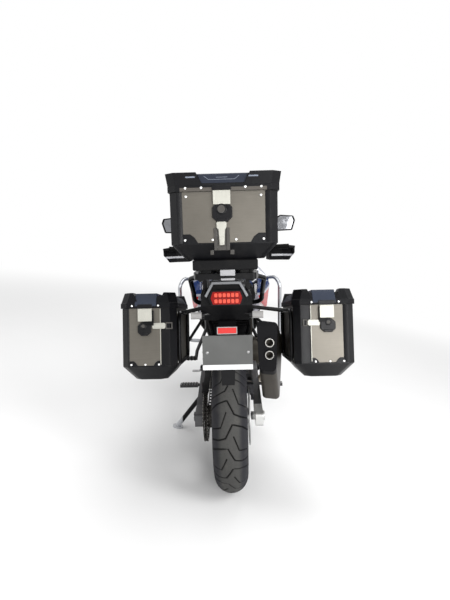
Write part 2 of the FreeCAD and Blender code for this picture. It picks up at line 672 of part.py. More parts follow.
def silencer():
    """Slanting silencer with a flat end cap, two outlets and a hanger to the subframe."""
    body = slab(SILENCER, 20).common(side_plate(SILENCER_END, 100, 300))
    outlets = []
    bores = []
    for z in (717, 660):
        y = -133 + (717 - z) * 0.18
        outlets.append(rod((OUTLET_X, y + 60, z), (OUTLET_X, y - 16, z), OUTLET_R))
        bores.append(rod((OUTLET_X, y + 30, z), (OUTLET_X, y - 30, z), OUTLET_R - OUTLET_WALL))
    hanger = [box(106, 112, 92, 118, 676, 826), box(106, 152, 92, 118, 676, 682)]
    return cut(join([body] + hanger + outlets), *bores)


SKID_GAP = 47.0


def skid_plate():
    """Bent plate below the engine, turned up at the front, with side wings."""
    t = 4
    front = station(WHEELBASE - FRONT_R) - SKID_GAP
    outer = [(712, 252), (front - 90, 252), (front, 420), (front - t, 422), (front - 92, 252 + t),
             (712, 252 + t)]
    floor = side_plate(outer, -150, 150)
    wings = []
    for s in SIDES:
        near, far = sorted((s * (150 - t), s * 150))
        outline = [(712, 252), (front - 90, 252), (front - 4, 412), (front - 50, 412), (1030, 336),
                   (712, 336)]
        wings.append(side_plate(outline, near, far))
        near, far = sorted((s * CASE_HALF, s * 150))
        wings += [box(near, far, y, y + 24, 326, 334) for y in (716, 960)]
    return join([floor] + wings)


CRASH_BAR = [(88, 1070, 440), (300, 1100, 452), (338, 1040, 520), (338, 1010, 850), (310, 1060, 892),
             (220, 1120, 880), (150, 1052, 846)]


def crash_bars():
    """Guard bars around the tank and engine."""
    bars = [tube([(s * x, y, z) for x, y, z in CRASH_BAR], GUARD_BAR_R, 50) for s in SIDES]
    return Part.Compound(bars)


# Bodywork

TANK = [(690, 118, 84, 752, 846), (780, 140, 104, 770, 955), (880, 158, 104, 800, 1062),
        (960, 166, 96, 812, 1080), (1040, 158, 96, 862, 968)]


def fuel_tank():
    return barrel(TANK, 34)


FAIRING = [
    (850, 178, 760, 204, 740, 222, 830, 176, 842),
    (980, 182, 720, 246, 690, 268, 860, 184, 900),
    (1140, 172, 700, 262, 720, 273, 880, 190, 950),
    (1300, 168, 790, 226, 800, 232, 930, 186, 972),
    (1400, 130, 880, 176, 880, 178, 960, 126, 976),
]


def side_fairings():
    """Panels beside the tank and radiators, cut out around the guard bars."""
    one = slab(FAIRING, 14)
    bar = tube(CRASH_BAR, GUARD_BAR_R + 3, 50)
    one = cut(one, bar)
    return Part.Compound(pair(one))


def front_cowl():
    """Beak and lamp surround ahead of the fork."""
    beak = barrel([(1384, 146, 120, 898, 1096), (1470, 130, 112, 880, 1110), (1580, 92, 60, 884, 1000),
                   (1690, 40, 24, 894, 934)], 22)
    lamp = rear_plate([(-92, 930), (92, 930), (84, 1010), (-84, 1010)], 1500, 1600, 14)
    return cut(beak, lamp)


def headlamps():
    return barrel([(1500, 88, 80, 934, 1006), (1560, 84, 70, 936, 1004)], 12)


def windscreen():
    """Curved screen, thin, leaning back."""
    wires = []
    for at, z, r, spread in ((1440, 1100, 210, 48), (1395, 1250, 205, 46), (1330, 1440, 200, 36)):
        y = along(at)
        ends = []
        for radius in (r, r - 4):
            a = math.radians(spread)
            left = V(-radius * math.sin(a), y - r + radius * math.cos(a), z)
            right = V(radius * math.sin(a), y - r + radius * math.cos(a), z)
            ends.append((left, V(0, y - r + radius, z), right))
        outer, inner = ends
        wires.append(Part.Wire([
            Part.Arc(*outer).toShape(), Part.LineSegment(outer[2], inner[2]).toShape(),
            Part.Arc(inner[2], inner[1], inner[0]).toShape(),
            Part.LineSegment(inner[0], outer[0]).toShape(),
        ]))
    return Part.makeLoft(wires, True, True)


def instrument_panel():
    panel = side_plate([(1352, 1090), (1372, 1096), (1342, 1190), (1322, 1184)], -92, 92, 4)
    stay = side_plate([(1362, 1100), (1400, 1096), (1420, 1150), (1352, 1160)], -30, 30, 4)
    return join([panel, stay])


# Seats by section: y, half width low, half width high, top
SEAT_STEP_Y = 330.0
RIDER_SEAT = [(SEAT_STEP_Y, 158, 140, 868), (420, 166, 148, 858), (600, 140, 120, 850),
              (TANK[0][0] - SOFT_GAP, 112, 84, 846)]
PILLION_SEAT = [(-18, 112, 100, 936), (60, 136, 122, 950), (260, 140, 124, 948),
                (SEAT_STEP_Y - SOFT_GAP, 136, 122, 930)]


def rider_base(y):
    """Height of the rider's seat base, which falls towards the tank."""
    return 806 - 0.15 * (y - SEAT_STEP_Y)


def pillion_base(y):
    """Height of the passenger's seat base on the tail."""
    return 846 + 0.074 * (SEAT_STEP_Y - y)


def rider_seat():
    return barrel([(y, low, high, rider_base(y), top) for y, low, high, top in RIDER_SEAT], 26)


def pillion_seat():
    return barrel([(y, low, high, pillion_base(y), top) for y, low, high, top in PILLION_SEAT], 22)


def side_covers():
    """Panels beside the frame under the seats."""
    rows = [(250, 122, 806, 132, 800, 156, 872, 126, 876), (330, 132, 706, 150, 700, 166, 788, 138, 796),
            (560, 132, 640, 152, 630, 160, 762, 136, 772), (660, 132, 650, 148, 646, 152, 742, 134, 750)]
    return Part.Compound(pair(slab(rows, 6)))


def tail_unit():
    """Tail below the rear seat and carrier, narrowing to the lamp."""
    outline = [(SEAT_STEP_Y - SOFT_GAP, 806), (329, pillion_base(329) - SOFT_GAP),
               (-24, pillion_base(-24) - SOFT_GAP), (-30, 958), (-292, 966), (-300, 905), (-250, 838),
               (0, 800)]
    profile = side_plate(outline, -130, 130, [0, 0, 0] + [10] * 5)
    section = rear_plate([(-60, 800), (60, 800), (104, 860), (98, 940), (80, 970), (-80, 970), (-98, 940),
                          (-104, 860)], -320, 340, 6)
    return profile.common(section)


LAMP_Z = 937.0


def tail_lamp():
    parts = []
    for edge, point, half, back, front in ((58, 70, 29, -318, -294), (52, 60, 24, -326, -317)):
        outline = [(-edge, LAMP_Z - half), (edge, LAMP_Z - half), (point, LAMP_Z), (edge, LAMP_Z + half),
                   (-edge, LAMP_Z + half), (-point, LAMP_Z)]
        parts.append(rear_plate(outline, back, front, 4))
    return join(parts)


def rear_indicators():
    lamps = []
    for s in SIDES:
        stalk = rod((s * 60, -262, 868), (s * 96, -276, 866), 6)
        lamp = rod((s * 88, -280, 864), (s * 142, -284, 864), 14)
        lamps.append(join([stalk, lamp]))
    return Part.Compound(lamps)


def plate_hanger():
    """Arm below the tail with the plate's backing, the lamp above it and a mudflap below."""
    outline = [(-200, 840), (-262, 836), (-350, 800), (-350, 664), (-340, 664), (-340, 780), (-200, 800)]
    arm = side_plate(outline, -34, 34)
    backing = side_plate([(-350, 666), (-346, 666), (-346, 796), (-350, 796)], -88, 88, 0)
    reflector = box(-36, 36, -356, -346, 806, 830)
    flap = rear_plate([(-24, 600), (24, 600), (30, 690), (-30, 690)], -346, -340, 0)
    return join([arm, backing, reflector, flap])


def number_plate():
    return box(-95.5, 95.5, -352.5, -350, 664, 798)


PLATE_TOP = 1034.0
GRAB_RAIL = [(104, 200, 841), (165, 190, 850), (165, 130, 905), (165, -20, 985), (110, -120, 1008),
             (96, -330, 1012)]


def rear_carrier():
    """Carrier rails, grab bars and the plate under the top case."""
    parts = []
    for s in SIDES:
        parts.append(tube([(s * x, y, z) for x, y, z in GRAB_RAIL], 11, 45))
        parts.append(box(s * 84 - 8, s * 84 + 8, -270, -60, 962, 1012))
        parts += [box(s * 70 - 16, s * 70 + 16, y, y + 30, PLATE_TOP - 4, TOP_FLOOR) for y in (-360, -120)]
    plate = plan_plate([(-112, -372), (112, -372), (124, -300), (124, -80), (-124, -80), (-124, -300)],
                       PLATE_TOP - 22, PLATE_TOP, 12)
    hole = plan_plate([(-50, -300), (50, -300), (50, -150), (-50, -150)], 1000, 1100, 14)
    return cut(join([plate] + parts), hole)


# Cases

def case_plan(x0, x1, y0, y1, corner, inset=0.0):
    """Rectangle with its corners cut off, drawn in all round by the inset."""
    x0, x1, y0, y1 = x0 + inset, x1 - inset, y0 + inset, y1 - inset
    return [(x0 + corner, y0), (x1 - corner, y0), (x1, y0 + corner), (x1, y1 - corner), (x1 - corner, y1),
            (x0 + corner, y1), (x0, y1 - corner), (x0, y0 + corner)]


def case_form(bounds, corner, steps):
    """Body through case outlines, each given by its inset and its height."""
    rings = []
    for inset, z in steps:
        corners = case_plan(*bounds, corner, inset)
        rings.append(Part.makePolygon([V(x, along(y), z) for x, y in corners + corners[:1]]))
    return Part.makeLoft(rings, True, True)


def case_body(bounds, floor, seam):
    """Open box with chamfered corners and a foot that draws in all round."""
    shoulder = floor + FOOT_RISE
    shell = case_form(bounds, CASE_CHAMFER, ((FOOT_INSET, floor), (0.0, shoulder), (0.0, seam)))
    space = case_form(bounds, CASE_CHAMFER - CASE_WALL / 2, (
        (FOOT_INSET + CASE_WALL / 2, floor + CASE_WALL), (CASE_WALL, shoulder), (CASE_WALL, seam + 1)))
    return cut(shell, space)


# Lids: height of the corner blocks over the deck, height and inset of the bevel below the deck,
# inner edges of the blocks as shares of the half width and half length, and how far they lean out
TOP_LID = (36.0, 8.0, 6.0, 0.36, 0.5, 6.0)
SIDE_LID = (14.0, 30.0, 20.0, 0.34, 0.62, -14.0)


def corner_blocks(bounds, low, high, inner_x, inner_y, lean_out):
    """Four raised blocks on the lid's corners, drawn in on their inner sides as they rise."""
    x0, x1, y0, y1 = bounds
    mid_x, mid_y = (x0 + x1) / 2, (y0 + y1) / 2
    half_x, half_y = (x1 - x0) / 2 + LID_OVER, (y1 - y0) / 2 + LID_OVER
    corner = CASE_CHAMFER + 4
    blocks = []
    for sx in SIDES:
        for sy in SIDES:
            rings = []
            for z, outer, inner in ((low, -1.0, 0.0), (high, lean_out, 22.0)):
                ax, ay = half_x * inner_x + inner, half_y * inner_y + inner
                bx, by = half_x + outer, half_y + outer
                corners = [(ax, ay), (bx, ay), (bx, by - corner), (bx - corner, by), (ax, by), (ax, ay)]
                rings.append(Part.makePolygon(
                    [V(mid_x + sx * x, along(mid_y + sy * y), z) for x, y in corners]))
            blocks.append(Part.makeLoft(rings, True, True))
    return blocks


def case_lid(bounds, seam, top, style):
    """Hollow lid with an overhanging rim, a bevelled deck and a raised block on each corner."""
    rise, bevel, inset, inner_x, inner_y, lean_out = style
    deck = top - rise
    crown = deck - bevel
    corner = CASE_CHAMFER + 4
    shell = case_form(bounds, corner, (
        (-LID_OVER, seam + LID_GAP), (-LID_OVER, crown), (inset - LID_OVER, deck)))
    hollow = case_form(bounds, CASE_CHAMFER - 2, (
        (CASE_WALL, seam - 1), (CASE_WALL, crown), (max(CASE_WALL, inset), deck - CASE_WALL)))
    blocks = corner_blocks(bounds, crown - 2, top, inner_x, inner_y, lean_out)
    return cut(join([shell] + blocks), hollow)


def hinge_knuckles(x0, x1, y, z, moving):
    """Turns of a pinned hinge: the outer ones and the pin are fixed, the middle one moves."""
    third = (x1 - x0) / 3
    gap = 0.5
    leaf = 3.0
    front = y - HINGE_OUT
    if moving:
        knuckle = along_x(HINGE_R, x0 + third + gap, x1 - third - gap, y, z)
        strap = box(x0 + third + gap, x1 - third - gap, front + LID_OVER, y, z + LID_GAP + gap, z + HINGE_R)
        return cut(join([knuckle, strap]), along_x(HINGE_PIN_R + PIN_FIT, x0, x1, y, z))
    knuckles = []
    for a, b in ((x0, x0 + third), (x1 - third, x1)):
        knuckles.append(along_x(HINGE_R, a, b, y, z))
        knuckles.append(box(a, b, front, y, z - 14, z - 10 + leaf))
        knuckles.append(box(a, b, y - 3, y + 3, z - 12, z))
    pin = along_x(HINGE_PIN_R, x0, x1, y, z)
    return join(knuckles + [pin])


def case_hinges(x0, x1, front, seam, moving):
    inset = 70.0 if x1 - x0 > 300 else 40.0
    width = 60.0
    y = front + HINGE_OUT
    starts = (x0 + inset, x1 - inset - width)
    return [hinge_knuckles(a, a + width, y, seam, moving) for a in starts]


def whole_case(bounds, floor, seam, top, style):
    x0, x1, _, front = bounds
    body = join([case_body(bounds, floor, seam)] + case_hinges(x0, x1, front, seam, False))
    lid = join([case_lid(bounds, seam, top, style)] + case_hinges(x0, x1, front, seam, True))
    return body, lid


def side_tilted(y, z):
    """Place of a point of a level side case once the case has been hung nose down."""
    turn = math.radians(SIDE_TILT)
    ahead, up = y - SIDE_BACK, z - SIDE_TILT_Z
    return (SIDE_BACK + ahead * math.cos(turn) + up * math.sin(turn),
            SIDE_TILT_Z - ahead * math.sin(turn) + up * math.cos(turn))


def side_hung(shape):
    """A side case or its fittings, drawn level, hung nose down."""
    shape = shape.copy()
    shape.rotate(V(0, along(SIDE_BACK), SIDE_TILT_Z), V(1, 0, 0), -SIDE_TILT)
    return shape


LOCK_T = 12.0


def case_locks():
    """Lock bodies on the rear walls."""
    locks = [box(-17, 17, TOP_BACK - LOCK_T, TOP_BACK, TOP_SEAM - 62, TOP_SEAM - 8)]
    for x0, x1 in (LEFT_CASE, RIGHT_CASE):
        mid = (x0 + x1) / 2
        lock = box(mid - 22, mid + 22, SIDE_BACK - LOCK_T, SIDE_BACK, SIDE_SEAM - 70, SIDE_SEAM - 10)
        locks.append(side_hung(lock))
    return Part.Compound(locks)


# Arms of a pannier rack: x, y and z on the subframe, then y and z on the level loop
RACK_ARMS = [(104, 60, 842, 50, 870), (94, -130, 874, -140, 870), (116, 160, 788, 150, 730)]


def pannier_racks():
    """Tube loops beside the tail that carry the side cases."""
    racks = []
    for inner, side in ((LEFT_CASE[1], -1), (RIGHT_CASE[0], 1)):
        x = inner - side * RACK_R
        corners = [(150, 870), (-190, 870), (-190, 660), (150, 660), (150, 868)]
        loop = tube([(x, *side_tilted(y, z)) for y, z in corners], RACK_R, 40)
        arms = [rod((side * near, y, z), (x, *side_tilted(loop_y, loop_z)), 7)
                for near, y, z, loop_y, loop_z in RACK_ARMS]
        racks.append(join([loop] + arms))
    return Part.Compound(racks)


# Controls and fork

def footpegs():
    """Rider's pegs on the pivot plates and passenger's pegs on hangers."""
    pegs = []
    for s in SIDES:
        peg = box(*sorted((s * 196, s * 302)), 540, 584, 292, 308)
        stem = rod((s * PIVOT_PLATE[1], 576, 303), (s * 200, 562, 300), 9)
        pegs.append(join([peg, stem]))
        hanger = tube([(s * 118, 330, 696), (s * 178, 362, 560), (s * 186, 368, 517)], 9, 30)
        rear = rod((s * 178, 368, 517), (s * 276, 368, 517), 11)
        pegs.append(join([hanger, rear]))
    return Part.Compound(pegs)


def foot_controls():
    """Brake pedal on the right and gear lever on the left, with their pivots."""
    brake = tube([(226, 584, 300), (226, 748, 300), (270, 752, 300)], 7, 18)
    gear = tube([(-CASE_HALF, 712, 345), (-196, 712, 345), (-204, 790, 318), (-250, 792, 318)], 7, 18)
    return Part.Compound([brake, gear])


def fork():
    """Two upside-down legs in two clamps, with the stem in the steering head and the wheel's axle."""
    legs = []
    lead = AXLE_AHEAD - CLAMP_OFFSET
    for s in SIDES:
        x = s * FORK_X
        at = V(x, CLAMP_OFFSET, 0)
        upper = Part.makeCylinder(FORK_UPPER_R, FORK_TOP - FORK_SPLIT, at + V(0, 0, FORK_SPLIT))
        lower = Part.makeCylinder(FORK_LOWER_R, FORK_SPLIT - AXLE_UP + 10, at + V(0, 0, AXLE_UP - 10))
        foot = Part.makeCylinder(26, 110, at + V(0, 0, AXLE_UP - 45))
        boss = Part.makeCylinder(26, 40, V(x - 20, AXLE_AHEAD, AXLE_UP), V(1, 0, 0))
        web = Part.makeBox(36, lead + 4, 48, V(x - 18, CLAMP_OFFSET, AXLE_UP - 24))
        legs += [upper, lower, foot, boss, web]
    clamps = []
    for low in (HEAD_LOW - HEAD_GAP - CLAMP_T, HEAD_HIGH + HEAD_GAP):
        outline = [V(-142, 10, low), (V(-60, -28, low)), V(60, -28, low), V(142, 10, low), V(138, 68, low),
                   V(70, 60, low), V(-70, 60, low), V(-138, 68, low)]
        clamps.append(Part.Face(rounded(outline, 14)).extrude(V(0, 0, CLAMP_T)))
    stem_low = HEAD_LOW - HEAD_GAP - CLAMP_T
    stem = Part.makeCylinder(STEM_R, HEAD_HIGH - stem_low + 2 * HEAD_GAP + CLAMP_T, V(0, 0, stem_low))
    axle = Part.makeCylinder(AXLE_R, 2 * FORK_X, V(-FORK_X, AXLE_AHEAD, AXLE_UP), V(1, 0, 0))
    bore = Part.makeCylinder(AXLE_BORE[0], 400, V(-200, AXLE_AHEAD, AXLE_UP), V(1, 0, 0))
    return steered(cut(join(legs + clamps + [stem, axle]), bore))


def front_calipers():
    """Calipers behind the legs over the front discs."""
    calipers = []
    for s in SIDES:
        x = s * FRONT_DISC_X
        block = Part.makeBox(44, 52, 92, V(x - 22, -112, AXLE_UP + 20))
        slot = Part.makeCylinder(FRONT_DISC_R + DISC_GAP, DISC_T + 2 * DISC_GAP,
                                 V(x - DISC_T / 2 - DISC_GAP, AXLE_AHEAD, AXLE_UP), V(1, 0, 0))
        lug = Part.makeBox(26, 130, 26, V(min(x + s * 9, x + s * 35), -66, AXLE_UP + 66))
        leg = Part.makeCylinder(26, 400, V(s * FORK_X, CLAMP_OFFSET, AXLE_UP - 60))
        calipers.append(cut(join([block, lug]), slot, leg))
    return Part.Compound([steered(c) for c in calipers])


FENDER_GAP = 22.0


def front_fender():
    """Arched guard close over the front tyre, carried between the fork legs."""
    start, end = -30.0, 130.0
    r = FRONT_R + FENDER_GAP
    half = [(62, -30), (62, 0), (40, 16), (-40, 16), (-62, 0), (-62, -30),
            (-58, -30), (-58, -2), (-38, 12), (38, 12), (58, -2), (58, -30)]
    profile = [V(x, 0, r + rise) for x, rise in half]
    face = Part.Face(Part.makePolygon(profile + profile[:1]))
    face.rotate(V(0, 0, 0), V(1, 0, 0), start)
    arch = face.revolve(V(0, 0, 0), V(1, 0, 0), end - start)
    arch = at_front_axle(arch)
    ears = []
    for s in SIDES:
        base = steer_point(0, CLAMP_OFFSET, AXLE_UP + r - 31)
        ears.append(box(*sorted((s * 58, s * (FORK_X - FORK_UPPER_R + 2))), base[1] - 26, base[1] + 26,
                        base[2] - 22, base[2] + 22))
    feet = [V(s * FORK_X, CLAMP_OFFSET, 0) for s in SIDES]
    legs = [steered(Part.makeCylinder(FORK_UPPER_R, FORK_TOP, foot)) for foot in feet]
    return cut(join([arch] + ears), *legs)


BAR = [(0, 1182, 1010), (80, 1182, 1010), (185, 1176, 1016), (258, 1140, 1092), (410, 1092, 1096)]


def handlebar():
    """Bar on two risers, with grips, levers and the small reservoirs."""
    bar = tube([(-x, y, z) for x, y, z in reversed(BAR[1:])] + BAR[1:], BAR_R, BAR_BEND)
    parts = [bar]
    for s in SIDES:
        grip = rod((s * 276, 1134.4, 1092.4), (s * 410, 1092, 1096), GRIP_R)
        perch = rod((s * 246, 1146, 1082), (s * 276, 1136, 1093), 19)
        reach = [(256, 1150, 1090), (268, 1186, 1090), (400, 1150, 1086)]
        lever = tube([(s * x, y, z) for x, y, z in reach], LEVER_R, 16)
        low = steer_point(s * 34, CLAMP_OFFSET - 14, HEAD_HIGH + HEAD_GAP + CLAMP_T)
        riser = rod(low, (s * 34, 1182, 1014), 15)
        cap = rod((s * 34 - 18, 1182, 1010), (s * 34 + 18, 1182, 1010), 22)
        parts += [grip, perch, lever, riser, cap]
    return join(parts)


GUARD_PLAN = [(452, 1096), (440, 1140), (380, 1186), (286, 1206), (262, 1196), (262, 1190), (284, 1198),
              (376, 1179), (434, 1136), (446, 1096)]


def hand_guards():
    """Shields ahead of the grips, fixed at the bar ends and near the perches."""
    guards = []
    for s in SIDES:
        shell = plan_plate([(s * x, y) for x, y in GUARD_PLAN], 1000, 1098)
        corners = [(250, 1010), (262, 1098), (452, 1094), (456, 1060), (420, 1000), (300, 996)]
        outline = rear_plate([(s * x, z) for x, z in corners], 1050, 1240, 10)
        end = rod((s * 411, 1092, 1096), (s * 452, 1092, 1090), 9)
        stay = rod((s * 262, 1152, 1084), (s * 274, 1197, 1072), 6)
        guards.append(join([shell.common(outline), end, stay]))
    return Part.Compound(guards)


def mirrors():
    heads = []
    for s in SIDES:
        stem = tube([(s * 256, 1144, 1098), (s * 262, 1140, 1150), (s * 350, 1080, 1222)], 6, 40)
        corners = [(306, 1212), (312, 1286), (350, 1308), (438, 1300), (450, 1270), (430, 1204),
                   (330, 1200)]
        head = rear_plate([(s * x, z) for x, z in corners], 1058, 1084, 12)
        heads.append(join([stem, head]))
    return Part.Compound(heads)


# Each piece in the first column is notched around what it is bolted to, in the second; crumbs fall away
CRUMB = 0.04
SEATS = (
    ("engine", ("main_frame",)),
    ("subframe", ("main_frame",)),
    ("swing_arm", ("main_frame",)),
    ("silencer", ("subframe",)),
    ("exhaust_pipes", ("silencer", "engine")),
    ("crash_bars", ("main_frame",)),
    ("tail_unit", ("subframe", "tail_lamp")),
    ("rear_carrier", ("subframe", "tail_unit")),
    ("pannier_racks", ("subframe", "tail_unit")),
    ("plate_hanger", ("tail_unit",)),
    ("rear_indicators", ("tail_unit",)),
    ("front_cowl", ("main_frame",)),
    ("side_fairings", ("front_cowl",)),
    ("radiators", ("main_frame", "side_fairings")),
    ("side_covers", ("subframe", "rider_seat", "pillion_seat", "fuel_tank")),
    ("footpegs", ("subframe", "main_frame")),
    ("rear_shock", ("swing_arm", "main_frame")),
    ("chain_guard", ("swing_arm",)),
    ("instrument_panel", ("front_cowl",)),
    ("windscreen", ("front_cowl",)),
    ("handlebar", ("fork",)),
    ("hand_guards", ("handlebar",)),
    ("mirrors", ("handlebar",)),
)


def build_all():
    """Every node of the motorcycle by name, upright."""
    top = whole_case((-TOP_HALF, TOP_HALF, TOP_BACK, TOP_FRONT), TOP_FLOOR, TOP_SEAM, TOP_LID_Z, TOP_LID)
    left, right = (
        [side_hung(piece) for piece in
         whole_case((*sides, SIDE_BACK, SIDE_FRONT), SIDE_FLOOR, SIDE_SEAM, SIDE_LID_Z, SIDE_LID)]
        for sides in (LEFT_CASE, RIGHT_CASE))
    makers = (
        main_frame, subframe, engine, radiators, exhaust_pipes, silencer, skid_plate, crash_bars, fuel_tank,
        side_fairings, front_cowl, headlamps, windscreen, instrument_panel, rider_seat, pillion_seat,
        side_covers, tail_unit, tail_lamp, rear_indicators, plate_hanger, number_plate, rear_carrier,
        case_locks, pannier_racks, swing_arm, rear_shock, drive_chain, chain_guard, rear_caliper, footpegs,
        foot_controls, side_stand, fork, front_calipers, front_fender, handlebar, hand_guards, mirrors,
        front_tyre, front_rim, front_discs, rear_tyre, rear_rim, rear_sprocket, rear_disc,
    )
    nodes = {maker.__name__: maker() for maker in makers}
    nodes["top_case_body"], nodes["top_case_lid"] = top
    nodes["left_pannier_body"], nodes["left_pannier_lid"] = left
    nodes["right_pannier_body"], nodes["right_pannier_lid"] = right
    for name, supports in SEATS:
        notched = nodes[name].cut([nodes[s] for s in supports])
        whole = max(s.Volume for s in notched.Solids)
        kept = [s for s in notched.Solids if s.Volume > CRUMB * whole]
        nodes[name] = kept[0] if len(kept) == 1 else Part.Compound(kept)
    return nodes


def park(nodes):
    """Lean the upright machine onto its stand, and centre it over the origin."""
    for shape in nodes.values():
        shape.rotate(V(0, 0, 0), V(0, 1, 0), -LEAN)
    whole = FreeCAD.BoundBox()
    for shape in nodes.values():
        whole.add(shape.optimalBoundingBox(False))
    shift = V(-whole.Center.x, -whole.Center.y, 0)
    for shape in nodes.values():
        shape.translate(shift)
    return shift


nodes = build_all()
shift = park(nodes)
os.makedirs("parts", exist_ok=True)
for name, shape in nodes.items():
    shape.exportStep("parts/" + name + ".step")
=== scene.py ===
"""Looks of an adventure touring motorcycle on its side stand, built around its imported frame.

New pieces are drawn in the motorcycle's own upright frame, in millimetres: X to the right, Y forward
and Z up from the ground below the rear axle. parked() leans them over with the machine.
"""

import json
import math

import bmesh
import bpy
import numpy as np
from bpy.props import FloatProperty, FloatVectorProperty, IntProperty, PointerProperty
from mathutils import Matrix, Vector


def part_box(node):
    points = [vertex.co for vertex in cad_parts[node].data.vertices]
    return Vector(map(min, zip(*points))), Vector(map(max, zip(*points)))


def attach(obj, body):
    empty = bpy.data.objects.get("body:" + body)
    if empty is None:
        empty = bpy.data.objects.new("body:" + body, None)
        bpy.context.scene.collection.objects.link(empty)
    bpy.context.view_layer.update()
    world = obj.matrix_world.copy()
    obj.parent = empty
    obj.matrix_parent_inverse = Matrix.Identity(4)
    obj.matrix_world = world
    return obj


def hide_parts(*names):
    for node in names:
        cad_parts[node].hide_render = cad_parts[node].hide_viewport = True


bl_info = {
    "name": "Adventure touring motorcycle",
    "version": (1, 0, 0),
    "blender": (4, 5, 0),
    "location": "View3D > Sidebar > Motorcycle",
    "description": "Dresses the packed motorcycle with tyres, case trim, seats, lamps and finishes",
    "category": "Object",
}

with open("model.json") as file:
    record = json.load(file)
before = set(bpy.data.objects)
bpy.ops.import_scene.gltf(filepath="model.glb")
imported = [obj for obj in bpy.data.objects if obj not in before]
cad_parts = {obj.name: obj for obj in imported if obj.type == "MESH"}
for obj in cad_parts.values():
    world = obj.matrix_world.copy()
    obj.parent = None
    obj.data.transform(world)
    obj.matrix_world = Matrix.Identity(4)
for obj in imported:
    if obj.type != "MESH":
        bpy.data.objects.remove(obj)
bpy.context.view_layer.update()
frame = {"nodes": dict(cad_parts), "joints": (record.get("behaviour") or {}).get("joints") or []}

TURN = 2 * math.pi
X, Y, Z, BACK = (1, 0, 0), (0, 1, 0), (0, 0, 1), (0, -1, 0)
SOOT, COAL = (0.0035, 0.0035, 0.004), (0.004, 0.004, 0.0045)

# The camera, in the upright frame
CAMERA_AT = (30.0, -2020.0, 1165.0)
CAMERA_YAW, CAMERA_TILT, CAMERA_ROLL = math.radians(1.2), math.radians(82.1), math.radians(-1.45)

# The parked pose of the upright frame
LEAN = math.radians(10)
JOINTS = {joint["name"]: joint for joint in frame["joints"]}

# Tyres, as in the frame: overall radius, half width, bead radius, half width between the flanges
FLANGE_RISE, FLANGE_T = 7.0, 5.0
FRONT_TYRE = (347.7, 45.0, 266.7, 30.0)
REAR_TYRE = (333.6, 75.0, 228.6, 54.0)


def axle_height(radius, crown):
    return radius - crown + crown / math.cos(LEAN)


REAR_Z = axle_height(REAR_TYRE[0], REAR_TYRE[1])
FRONT_Z = axle_height(FRONT_TYRE[0], FRONT_TYRE[1])
REAR_AXLE = JOINTS["rear_wheel_spin"]["pos_m"]
WHEELBASE = (JOINTS["front_wheel_spin"]["pos_m"][1] - REAR_AXLE[1]) * 1000
SHIFT = Vector((REAR_AXLE[0] + REAR_Z / 1000 * math.sin(LEAN), REAR_AXLE[1], 0.0))

# Cases: sides, ends, floor, seam and lid heights
TOP_CASE = dict(x0=-188.0, x1=188.0, y0=-430.0, y1=-30.0, floor=1087.0, seam=1324.0, top=1388.0)
LEFT_CASE = dict(x0=-430.0, x1=-210.0, y0=-240.0, y1=190.0, floor=597.0, seam=890.0, top=954.0)
RIGHT_CASE = dict(x0=270.0, x1=510.0, y0=-240.0, y1=190.0, floor=597.0, seam=890.0, top=954.0)
CHAMFER, FOOT_RISE, FOOT_INSET, LID_OVER = 26.0, 56.0, 46.0, 8.0
SIDE_TILT, SIDE_PIVOT = math.radians(10), (-240.0, 775.0)

# Swing arm's pivot and gearbox output, the chain's plane, pitch and teeth, and the tail lamp's height
PIVOT, OUTPUT, CHAIN_X, CHAIN_PITCH, LAMP_Z = (590.0, 395.0), (655.0, 385.0), -113.0, 15.875, 937.0
REAR_TEETH, FRONT_TEETH = 42, 17


def parked(points):
    """Upright millimetres to parked metres: a turn about Y by the lean, then the frame's shift."""
    p = np.asarray(points, float)
    c, s = math.cos(LEAN), math.sin(LEAN)
    out = np.empty_like(p)
    out[..., 0] = (p[..., 0] * c - p[..., 2] * s) / 1000 + SHIFT.x
    out[..., 1] = p[..., 1] / 1000 + SHIFT.y
    out[..., 2] = (p[..., 0] * s + p[..., 2] * c) / 1000
    return out


def hung(points):
    """Level side-case millimetres to the hung case's: a turn about X by the tilt, nose down, round its back."""
    p = np.asarray(points, float)
    c, s = math.cos(SIDE_TILT), math.sin(SIDE_TILT)
    y, z = p[..., 1] - SIDE_PIVOT[0], p[..., 2] - SIDE_PIVOT[1]
    return np.stack([p[..., 0], SIDE_PIVOT[0] + y * c + z * s, SIDE_PIVOT[1] - y * s + z * c], -1)


# Surfaces

